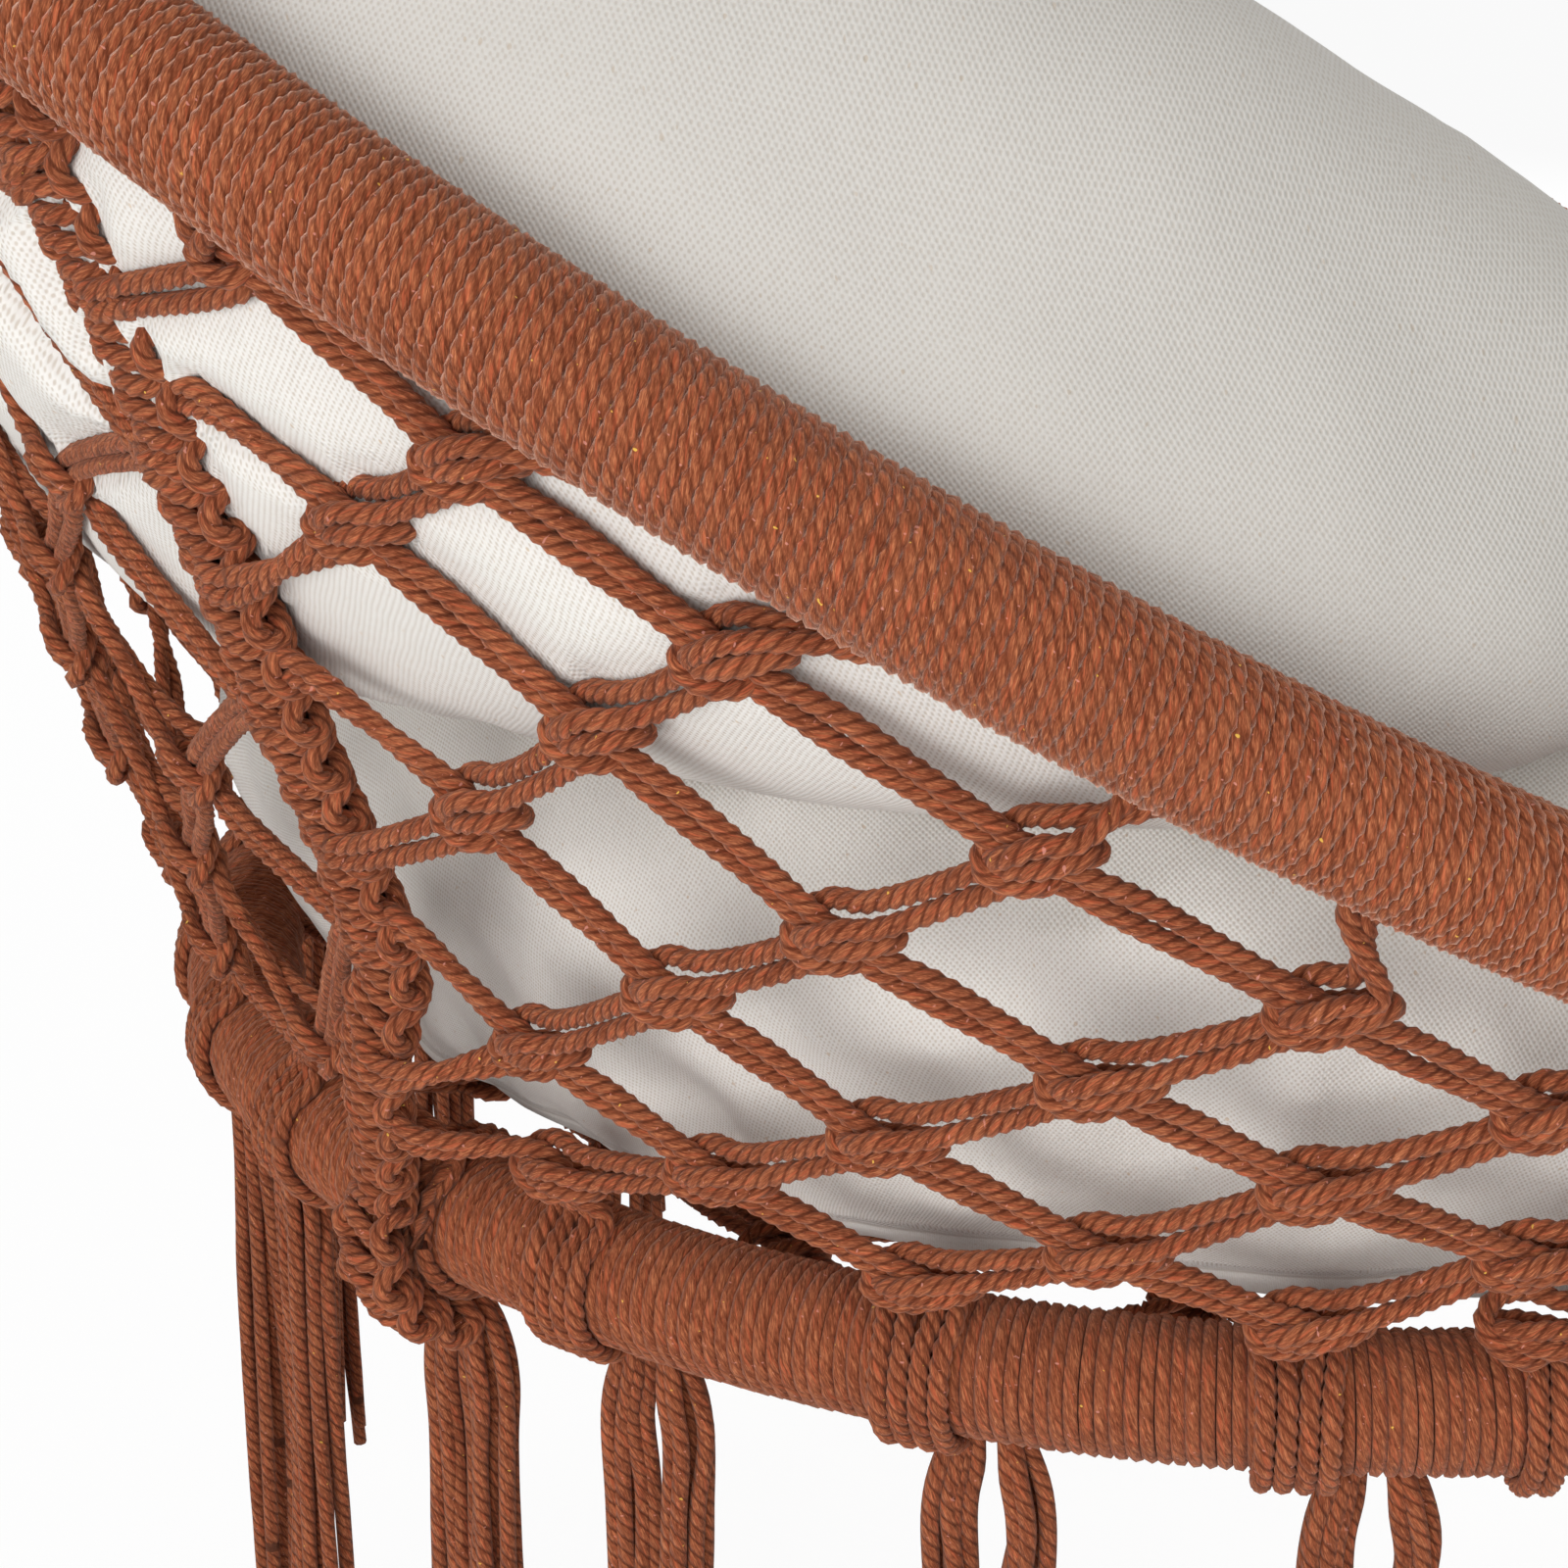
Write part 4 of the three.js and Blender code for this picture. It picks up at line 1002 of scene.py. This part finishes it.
def addSeatNet(finish):
    pitch, edge = seatNet["pitch"], seatNet["edge"]

    def place(x, y):
        return seatMiddle + Vector((x, y, -seatNet["sag"] * max(0, 1 - (x * x + y * y) / edge**2)))

    count = math.ceil(chair["seatRadius"] / pitch)
    knots = {}
    for i in range(-count, count + 1):
        for j in range(-count, count + 1):
            if (i + j) % 2 and math.hypot(i, j) * pitch < edge - seatNet["margin"]:
                knot = NetKnot(place(i * pitch, j * pitch), Vector((0, 0, -1)))
                knot.core = Vector((1, 1, 0)).normalized()
                knot.work = Vector((-1, 1, 0)).normalized()
                knots[i, j] = knot
    paths = []
    for way in (1, -1):
        lines = {}
        for (i, j), knot in knots.items():
            lines.setdefault(j - way * i, []).append((i, j))
        for line in lines.values():
            line.sort()
            along = Vector((1, way, 0)).normalized()
            ends = []
            for (i, j), turn in ((line[0], -1), (line[-1], 1)):
                flat = Vector((i * pitch, j * pitch, 0))
                inward = flat.dot(along * turn)
                outer = (edge + seatNet["past"]) ** 2 - flat.length_squared
                hit = seatMiddle + (flat + along * turn * (math.sqrt(outer + inward**2) - inward))
                across = Vector((-along.y, along.x, 0)) * chair["pair"]
                ends.append(lambda s, hit=hit, across=across: [hit + across * s])
            make = corePaths if way == 1 else workPaths
            paths += make(ends[0], [knots[p] for p in line], ends[1])
    even = [evenPath(p, plainCord["step"] * 1.4) for p in paths]
    cordPiece("seat_net_cords", even, plainCord | {"sides": 7}, finish, replaces=["seat_net"])
    print("seat net:", len(paths), "cords")


# Flat braids of square knots over two straight cords: along, across and out, in millimetres

braidLeft = [
    (-4.5, 6.5, 1.5), (-3.2, 2, 4.3), (-2.5, -4, 3.5), (0.2, -9.5, 0), (2.4, -4, 4.2), (3, 2, 4.3),
    (4.5, 6.5, 1.5),
]
braidRight = [
    (-5, -8.5, 2), (-3, -2, -4.5), (-4, 6, -3), (-5, 9, 0.5), (-3, 8.5, 4), (0, 8, 5), (3, 8.5, 4),
    (5, 9, 0.5), (4, 6, -3), (3, -2, -4.5), (4.5, -8.5, 2),
]
braid = {
    "pitch": 0.012, "shear": 0.35, "ropePitch": 0.036, "ropeNarrow": 0.6,
    "left": 0.0065, "right": 0.0085, "core": 0.0022,  # from the middle to its cords
    "lift": 0.0021,  # of one core cord over the other, where a rope narrows
}


# Paths of a braid along a line of places, whose knots are the pitch apart
def braidPaths(spot, length, pitch, turn, narrow=1.0):
    count = max(2, round(length / pitch))
    left, right, cores = [], [], [[], []]
    for n in range(count):
        share = (n + 0.5) / count
        place, line, normal = spot(share)
        side = line.cross(normal) * turn
        taper = 1 - (1 - narrow) * share**4
        for points, model in ((left, braidLeft), (right, braidRight)):
            for s, r, w in model:
                along = (s + braid["shear"] * r) * 0.001
                points.append(place + line * along + side * r * taper * 0.001 + normal * w * 0.001)
        for flank, points in zip((1, -1), cores):
            lift = braid["lift"] * flank * (1 - taper) / (1 - braid["ropeNarrow"])
            points.append(place + side * flank * braid["core"] * taper + normal * lift)
    first, last = spot(0), spot(1)
    core = braid["core"]
    for points, r in (
        (left, braid["left"]), (right, -braid["right"]), (cores[0], core), (cores[1], -core)
    ):
        for (place, line, normal), at in ((first, 0), (last, len(points) + 1)):
            taper = 1 if at == 0 else narrow
            sink = 0.008 if at == 0 or narrow == 1 else 0.03  # into the hoop or the crown
            end = place + line.cross(normal) * turn * r * taper * (0.9 if narrow == 1 else 0.7)
            points.insert(at, end + line * sink * (-1 if at == 0 else 1))
    return [left, right, *cores]


# A rope's straight line from the rim up to the crown
def ropeLine(degrees):
    out = outward(degrees)
    top = out * 0.0155 + Vector((0, 0, crown["foot"] - 0.0003))
    foot = landing(onRim, degrees, top, braidReach)
    along = alongHoop(onRim, degrees)
    line = (top - foot).normalized()
    flat = line.cross(along)
    flat = (flat * (1 if flat.dot(out) > 0 else -1)).normalized()

    def spot(share):
        normal = flat.lerp(out, share)
        return foot.lerp(top, share), line, (normal - line * normal.dot(line)).normalized()

    return spot


def addBraids(finish):
    for name, spot, rimDegrees, turn in (
        ("back", backBraidSpot, chair["backBraid"], -1),
        ("front", frontBraidSpot, chair["frontBraid"], 1),
    ):
        paths = braidPaths(spot, spot.size, braid["pitch"], turn)
        line = ropeLine(rimDegrees)
        length = (line(1)[0] - line(0)[0]).length
        rope = braidPaths(line, length, braid["ropePitch"], turn, braid["ropeNarrow"])
        for side in ("left", "right"):
            if side == "right":
                paths, rope = mirrored(paths), mirrored(rope)
            cord = fineCord if side == "left" and name == "back" else plainCord
            wallCords.extend(paths)
            even = [evenPath(p, cord["step"]) for p in paths]
            node = f"{side}_{name}_braid"
            cordPiece(node + "_cords", even, cord, finish, replaces=[node])
            even = [evenPath(p, plainCord["step"] * 1.3) for p in rope]
            node = f"{side}_{name}_rope"
            cordPiece(node + "_cords", even, plainCord, finish, replaces=[node])
    print("braids and ropes done")


# Lashings: turns of cord round a hoop, over its winding

lash = {
    "length": 0.03, "reach": 0.0198, "pitch": 0.0043, "points": 20,
    "rim": 0.86, "seat": 0.5,  # the share of its length that is wound
}


def addLashings(finish):
    for place, hoop, radius, spread in (
        ("rim", onRim, chair["rimRadius"], 0),
        ("seat", onSeatHoop, chair["seatRadius"], chair["braidSpread"]),
    ):
        for name, degrees in (("back", chair["backBraid"]), ("front", chair["frontBraid"])):
            middle = degrees + spread
            reach = math.degrees(lash["length"] / 2 / radius) * lash[place]
            ends = middle - reach, middle + reach
            path = windingPath(hoop, radius, *ends, lash)
            for side in ("left", "right"):
                node = f"{side}_{name}_{place}_lashing"
                if side == "right":
                    path = path * np.array((-1, 1, 1))
                cordPiece(node + "_cord", [path], plainCord, finish, replaces=[node])


# Turns of cord round both hoops, where they are tied at the front

frontTie = {"length": 0.032, "round": 0.0198, "turns": 8, "points": 36}


def addFrontTie(finish):
    slope = Vector((0, -1, -1)).normalized()
    square = Vector((0, 1, -1)).normalized()
    middle = onRim(-90) + slope * chair["hoopOffset"] / 2 + Vector((0, 0.0005, 0))
    path = []
    half, reach = chair["hoopOffset"] / 2, frontTie["round"]
    straight, bend = 2 * half, math.pi * reach  # twice each makes one turn
    for i in range(frontTie["turns"] * frontTie["points"] + 1):
        share = i / frontTie["points"]
        way = share % 1 * 2 * (straight + bend)
        leg, way = divmod(way, straight + bend)
        flip = 1 if leg == 0 else -1
        if way < straight:
            a, b = -half + way, reach
        else:
            angle = (way - straight) / reach
            a, b = half + reach * math.sin(angle), reach * math.cos(angle)
        x = (share / frontTie["turns"] - 0.5) * frontTie["length"]
        path.append(middle + Vector((x, 0, 0)) + slope * a * flip + square * b * flip)
    even = evenPath(path, plainCord["step"])
    cordPiece("front_tie_cord", [even], plainCord, finish, replaces=["front_tie"])


# The crown: ropes gathered under the ring in turns of cord, with three thick loops over its wire

crown = {
    "top": -0.0798, "foot": -0.1438, "radius": 0.0199, "pitch": 0.0043, "points": 24,
    "loop": 0.0044, "loopGap": 0.0094, "reach": 0.0112,  # round the wire, with room to swing
    "wire": -0.065, "ring": 0.035,  # the ring's lowest point and its radius, at the wire's middle
}


def addCrown(finish, loopFinish):
    radius, tall = crown["radius"], crown["top"] - crown["foot"]
    turns = round(tall / crown["pitch"]) - 1
    path = []
    for i in range(turns * crown["points"] + 1):
        angle = 2 * math.pi * i / crown["points"]
        share = i / (turns * crown["points"])
        z = crown["foot"] + chair["cord"] + (tall - 2 * chair["cord"]) * share
        path.append(Vector((radius * math.cos(angle), radius * math.sin(angle), z)))
    even = evenPath(path, plainCord["step"])
    cordPiece("crown_winding_cord", [even], plainCord, finish, replaces=["crown_winding"])
    loops = []
    for x in (-crown["loopGap"], 0, crown["loopGap"]):
        rise = crown["ring"] - math.sqrt(crown["ring"] ** 2 - x * x)
        reach, top = crown["reach"], crown["wire"] + rise
        turn = np.linspace(0, math.pi, 9)[1:-1]
        arc = [(x, -reach * math.cos(a), top + reach * math.sin(a)) for a in turn]
        down = [(x, -reach, crown["wire"]), (x, -0.0095, crown["top"]), (x, -0.008, crown["foot"])]
        up = [(x, -y, z) for x, y, z in reversed(down)]
        loops.append(evenPath(down[::-1] + arc + up[::-1], 0.003))
    thick = {"radius": crown["loop"], "sides": 12, "lobes": 0}
    cordPiece("crown_loops", loops, thick, loopFinish)
    stuff = bmesh.new()
    bmesh.ops.create_cone(
        stuff, cap_ends=True, segments=24, radius1=radius, radius2=radius, depth=tall - 0.004
    )
    bmesh.ops.translate(stuff, verts=stuff.verts, vec=(0, 0, (crown["top"] + crown["foot"]) / 2))
    mesh = bpy.data.meshes.new("crown_core")
    stuff.to_mesh(mesh)
    stuff.free()
    placePiece("crown_core", mesh, finish)


# Tassels: cord ends that arch out from under the seat hoop in two bundles and hang down

tassel = {
    "length": 0.205, "cords": 12, "arch": 0.0085, "bundle": 0.0042, "sway": 0.002,
    "places": (24, 8, -8, -23, -38, 54, 72),  # on the left half, besides those at the back braids
    "top": 0.015, "lashedTop": 0.0235,  # below the hoop's middle
    "widths": ((0.05, 0.85), (0.1, 1.05), (0.2, 0.95), (0.4, 0.8), (0.7, 0.85), (1, 1)),
}


def addTassels(finish):
    back, spread = chair["backBraid"], chair["braidSpread"]
    left = [back + spread, *tassel["places"]]
    lashed = (back + spread, chair["frontBraid"] + spread)
    for n, degrees in enumerate(left + [180 - d for d in left] + [90]):
        low = min(abs(degrees - d) for d in (*lashed, *(180 - d for d in lashed))) < 5
        top = onSeatHoop(degrees) - Vector((0, 0, tassel["lashedTop" if low else "top"]))
        along, out = alongHoop(onSeatHoop, degrees), outward(degrees)
        rows = []
        for i in range(tassel["cords"]):
            half = 1 if i % 2 else -1
            angle = i * 2.6 + chance.uniform(-0.3, 0.3)
            ring = 0.35 if i < 4 else 1
            way = (along * math.cos(angle) + out * math.sin(angle)) * ring * tassel["bundle"]
            length = tassel["length"] * chance.uniform(0.92, 1.0)
            sway = Vector((chance.uniform(-1, 1), chance.uniform(-1, 1), 0)) * tassel["sway"]
            rise = Vector((0, 0, 0.0035))
            points = [top + rise + along * 0.002 * half, top + along * 0.005 * half + way * 0.5]
            for share, wide in tassel["widths"]:
                bend = sway * math.sin(share * 6 + i) if share > 0.1 else Vector()
                swell = 1 + share * 0.5
                middle = along * tassel["arch"] * wide * half
                points.append(top + middle + way * swell + bend - Vector((0, 0, length * share)))
            rows.append(evenPath(points, roundCord["step"]))
        name = f"tassel_{n + 1}"
        cordPiece(name + "_cords", rows, roundCord, finish, replaces=[name])
    print("tassels done")


# Cushions. The CAD solid is meshed evenly, swollen as cloth, and then pressed by the net's cords.

cushions = {
    "seat": {"slack": -0.03, "cap": 0.016, "fill": 0.8, "foldSize": 0.06},
    "back": {"slack": -0.04, "cap": 0.018, "fill": 0.75, "foldSize": 0.08},
}
padding = {"voxel": 0.0075, "tuck": 0.003, "pressure": 3.6, "frames": 20, "fold": 0.009}
seatPad = {"middle": -1.0215, "half": 0.0945, "radius": 0.3, "curve": 0.77, "seam": -0.056}
backPad = {
    "start": -45, "end": 195, "depth": 0.052, "foot": 0.092, "rise": 0.35, "wing": 0.066,
    "power": 1.6, "lean": 0.62, "inset": 0.021, "seam": 0.12, "round": 0.33, "curve": 0.83,
}
# The left end of the back cushion is fuller than its solid, sits higher and turns forward
wing = {"degrees": -24, "spread": 30, "lift": 0.03, "full": 5, "slim": 2.4, "forward": 9}


# Where points lie on the back cushion: degrees round the chair, side 1 on its outer face to -1 on
# its inner one, level -1 at its foot to 1 at its top, and its height there
def backSection(places):
    x, y, z = places.T
    rim, tilt = chair["rimMiddle"], chair["rimTilt"]
    angle = np.arctan2(y - chair["centre"], -x)
    for _ in range(4):
        rimLevel = rim.z + chair["rimRadius"] * math.sin(tilt) * np.sin(angle)
        share = np.clip((rimLevel - z) / (rimLevel - seatMiddle.z), 0, 1)
        bow = chair["netBulge"] * 4 * share * (1 - share)
        wide = chair["rimRadius"] * (1 - share) + chair["seatRadius"] * share + bow
        deep = chair["rimRadius"] * math.cos(tilt) * (1 - share) + chair["seatRadius"] * share + bow
        forward = y - rim.y * (1 - share) - seatMiddle.y * share
        out = forward * np.sin(angle) - x * np.cos(angle)
        inward = wide * np.cos(angle) ** 2 + deep * np.sin(angle) ** 2 - out
        angle = np.arctan2(forward / (deep - inward), -x / (wide - inward))
    degrees = (np.degrees(angle) + 90) % 360 - 90
    start, end, low = backPad["start"], backPad["end"], backPad["wing"]
    reach = np.clip(2 * (degrees - start) / (end - start) - 1, -1, 1)
    tall = low + (backPad["rise"] - low) * (1 - reach**2) ** backPad["power"]
    level = 2 * (z - rim.z + backPad["foot"]) / tall - 1
    lean = np.maximum(0, z - rimLevel) * backPad["lean"]
    side = 1 - (inward - backPad["inset"] - lean) / backPad["depth"]
    return degrees, side, level, tall


def liftWing(piece):
    places = placesOf(piece.data)
    degrees, side, level, tall = backSection(places)
    middle = (backPad["start"] + backPad["end"]) / 2
    reach = np.clip((middle - degrees) / (middle - backPad["start"]), 0, 0.99)
    full, slim = ((1 - reach ** wing[name]) ** (1 / wing[name]) for name in ("full", "slim"))
    more = full / slim - 1
    share = np.exp(-(((degrees - wing["degrees"]) / wing["spread"]) ** 2))
    lift = wing["lift"] * share * np.clip((level + 1) / 2, 0, 1.1)
    places[:, 2] += level * more * tall / 2 + lift
    angle = np.radians(degrees)
    inward = -np.clip(side, -1, 0) * more * backPad["depth"]
    places[:, 0] += np.cos(angle) * inward
    places[:, 1] -= np.sin(angle) * inward
    turn = -np.radians(wing["forward"]) * reach**3
    x, y = places[:, 0].copy(), places[:, 1] - seatMiddle.y
    places[:, 0] = x * np.cos(turn) + y * np.sin(turn)
    places[:, 1] = y * np.cos(turn) - x * np.sin(turn) + seatMiddle.y
    piece.data.vertices.foreach_set("co", places.ravel())
    piece.data.update()


# A cushion's solid, meshed evenly and drawn in a little before it swells
def solidOf(node, name):
    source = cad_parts[node]
    shape = bmesh.new()
    shape.from_mesh(source.data)
    shape.transform(source.matrix_world)
    bmesh.ops.remove_doubles(shape, verts=shape.verts, dist=1e-5)
    mesh = bpy.data.meshes.new(name)
    shape.to_mesh(mesh)
    shape.free()
    piece = bpy.data.objects.new(name, mesh)
    scene.collection.objects.link(piece)
    remesh = piece.modifiers.new("even", "REMESH")
    remesh.mode = "VOXEL"
    remesh.voxel_size = padding["voxel"]
    smooth = piece.modifiers.new("smooth", "SMOOTH")
    smooth.iterations = 3
    tuck = piece.modifiers.new("tuck", "DISPLACE")
    tuck.mid_level = 0
    tuck.strength = -padding["tuck"]
    return applied(piece)


# Makes a piece's modifiers part of its mesh
def applied(piece):
    depsgraph = bpy.context.evaluated_depsgraph_get()
    mesh = bpy.data.meshes.new_from_object(piece.evaluated_get(depsgraph))
    piece.modifiers.clear()
    piece.data = mesh
    return piece


def placesOf(mesh):
    values = np.empty(len(mesh.vertices) * 3)
    mesh.vertices.foreach_get("co", values)
    return values.reshape(-1, 3)


# Cloth blown up by its filling, which moves no place further than the cap
def swell(piece, pad):
    before = placesOf(piece.data)
    cloth = piece.modifiers.new("cloth", "CLOTH")
    settings = cloth.settings
    settings.quality = 5
    settings.mass = 0.25
    settings.tension_stiffness = 14
    settings.compression_stiffness = 14
    settings.shear_stiffness = 6
    settings.bending_stiffness = 0.6
    settings.shrink_min = pad["slack"]
    settings.use_pressure = True
    settings.uniform_pressure_force = padding["pressure"]
    settings.effector_weights.gravity = 0
    cloth.collision_settings.use_collision = False
    for number in range(1, padding["frames"] + 1):
        scene.frame_set(number)
    after = placesOf(applied(piece).data)
    scene.frame_set(1)
    move = after - before
    far = np.linalg.norm(move, axis=1, keepdims=True)
    move *= np.minimum(1, pad["cap"] / np.maximum(far, 1e-6))
    piece.data.vertices.foreach_set("co", (before + move).ravel())
    piece.data.update()


# The cords of the net, for finding the nearest to a place
def wallTree():
    points = [p for path in wallCords for p in evenPath(path, 0.004)]
    tree = KDTree(len(points))
    for i, point in enumerate(points):
        tree.insert(point, i)
    tree.balance()
    return tree


press = {"clear": 0.0031, "near": 0.03, "spread": 0.0062, "bulge": 0.003}


# Each place of a cushion moves in behind the nearest cord, or stays within a bulge of the net
def pressIn(piece, tree):
    places = placesOf(piece.data)
    moved = places.copy()
    for i, point in enumerate(places):
        place = Vector(point)
        degrees = math.degrees(math.atan2(place.y - chair["centre"], -place.x))
        rim, seat = onRim(degrees), onSeatHoop(degrees)
        share = min(1, max(0, (rim.z - place.z) / (rim.z - seat.z)))
        out = outward(degrees)
        depth = (onNet(degrees, share) - place).dot(out) + press["bulge"]
        found, _, distance = tree.find(place)
        if distance < press["near"]:
            side = (found - place).dot(out)
            across = math.sqrt(max(0, distance**2 - side**2))
            fall = math.exp(-((across / press["spread"]) ** 2))
            need = side - press["clear"]
            if need < 0:
                moved[i] += np.array(out * need * fall)
                continue
        if depth < 0:
            moved[i] += np.array(out * depth)
    piece.data.vertices.foreach_set("co", moved.ravel())
    piece.data.update()


# A finer mesh, with soft folds in it
def folded(piece, pad):
    fine = piece.modifiers.new("fine", "SUBSURF")
    fine.levels = fine.render_levels = 1
    cloud = bpy.data.textures.new("folds", "CLOUDS")
    cloud.noise_scale = pad["foldSize"]
    cloud.noise_depth = 1
    folds = piece.modifiers.new("folds", "DISPLACE")
    folds.texture = cloud
    folds.texture_coords = "LOCAL"
    folds.strength = padding["fold"]
    return applied(piece)


# Length along a rounded section from its side, up or down, to a turn of it
def arcOf(turn, wide, tall, curve):
    turns = turn[:, None] * np.linspace(0, 1, 20)
    x = wide * np.abs(np.cos(turns)) ** curve
    z = (np.ones_like(turn) * tall)[:, None] * np.abs(np.sin(turns)) ** curve
    return np.sign(turn) * np.sum(np.hypot(np.diff(x), np.diff(z)), axis=1)


# The canvas is mapped in metres from the seam, the same way on both of a cushion's panels
def mapCushion(piece, kind):
    mesh = piece.data
    places = placesOf(mesh)
    if kind == "back":
        degrees, side, level, tall = backSection(places)
        turn = np.arctan2(np.sign(level) * np.abs(level) ** 1.2, np.abs(side) ** 1.2)
        v = arcOf(turn, backPad["depth"], tall / 2, backPad["curve"])
        u = np.radians(degrees) * backPad["round"]
        seam = (side - backPad["seam"]) * backPad["depth"]
    else:
        x, y, z = (places - np.array((0, seatMiddle.y, seatPad["middle"]))).T
        radius, half, power = seatPad["radius"], seatPad["half"], 1.3
        middle = np.maximum(np.hypot(x, y), 1e-6)
        lift = np.sign(z) * (np.abs(z) / half) ** power
        turn = np.arctan2(lift, (middle / radius) ** power)
        low = -math.atan((-seatPad["seam"] / half) ** power)
        quarter, below = arcOf(np.array([math.pi / 2, low]), radius, half, seatPad["curve"])
        reach = quarter - arcOf(turn, radius, half, seatPad["curve"])
        panel = quarter - below  # from the middle of the upper panel to its seam
        under = panel * (2 * quarter - reach) / (2 * quarter - panel)
        reach = np.where(reach > panel, under, reach)
        u, v = x / middle * reach, y / middle * reach
        seam = z - seatPad["seam"]
    corners = np.empty(len(mesh.loops), np.int32)
    mesh.loops.foreach_get("vertex_index", corners)
    values = np.stack([u, v], axis=1)[corners].astype(np.float32)
    mesh.uv_layers.new(name="UVMap").data.foreach_set("uv", values.ravel())
    values = seam.astype(np.float32)
    mesh.attributes.new("seam", "FLOAT", "POINT").data.foreach_set("value", values)


def addCushions(finish):
    tree = wallTree()
    for kind, pad in cushions.items():
        name = kind + "_cushion"
        piece = solidOf(name, name + "_canvas")
        if kind == "back":
            liftWing(piece)
        swell(piece, pad)
        folded(piece, pad)
        pressIn(piece, tree)
        mapCushion(piece, kind)
        mesh = piece.data
        mesh.shade_smooth()
        mesh.materials.clear()
        mesh.materials.append(finish.material)
        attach(piece, "chair")
        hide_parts(name)
        print(name, len(mesh.polygons), "faces")


addCamera()
for name in lamps:
    addLamp(name)
addStage()
scene.view_settings.view_transform = "Standard"
print("camera, lamps and floor placed")

pliedCotton = cottonFinish("cotton cord", "cotton_cord", True)
roundCotton = cottonFinish("cotton cord round", "cotton_cord", False)
woundCotton = cottonFinish("wound cotton", "cord_winding", False, winding["radius"], 0.3)
nearWound = cottonFinish("near wound cotton", "cord_winding", True, nearWinding["radius"], 0.5)
nearWound.set(Sheen_Weight=1, Sheen_Roughness=0.35)
cream = canvasFinish("cream canvas", "canvas")
steel = steelFinish()
coated = paintedFinish()

addWindings(woundCotton, nearWound)
addSideNets(pliedCotton)
addBackNets(pliedCotton)
addSeatNet(pliedCotton)
addBraids(pliedCotton)
addLashings(pliedCotton)
addFrontTie(pliedCotton)
addCrown(pliedCotton, roundCotton)
addTassels(roundCotton)
addCushions(cream)

for node, finish in (("hanging_ring", steel), ("rim_tube", coated), ("seat_hoop_tube", coated)):
    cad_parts[node].data.materials.clear()
    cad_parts[node].data.materials.append(finish.material)

for profile in sections.values():
    bpy.data.objects.remove(profile)
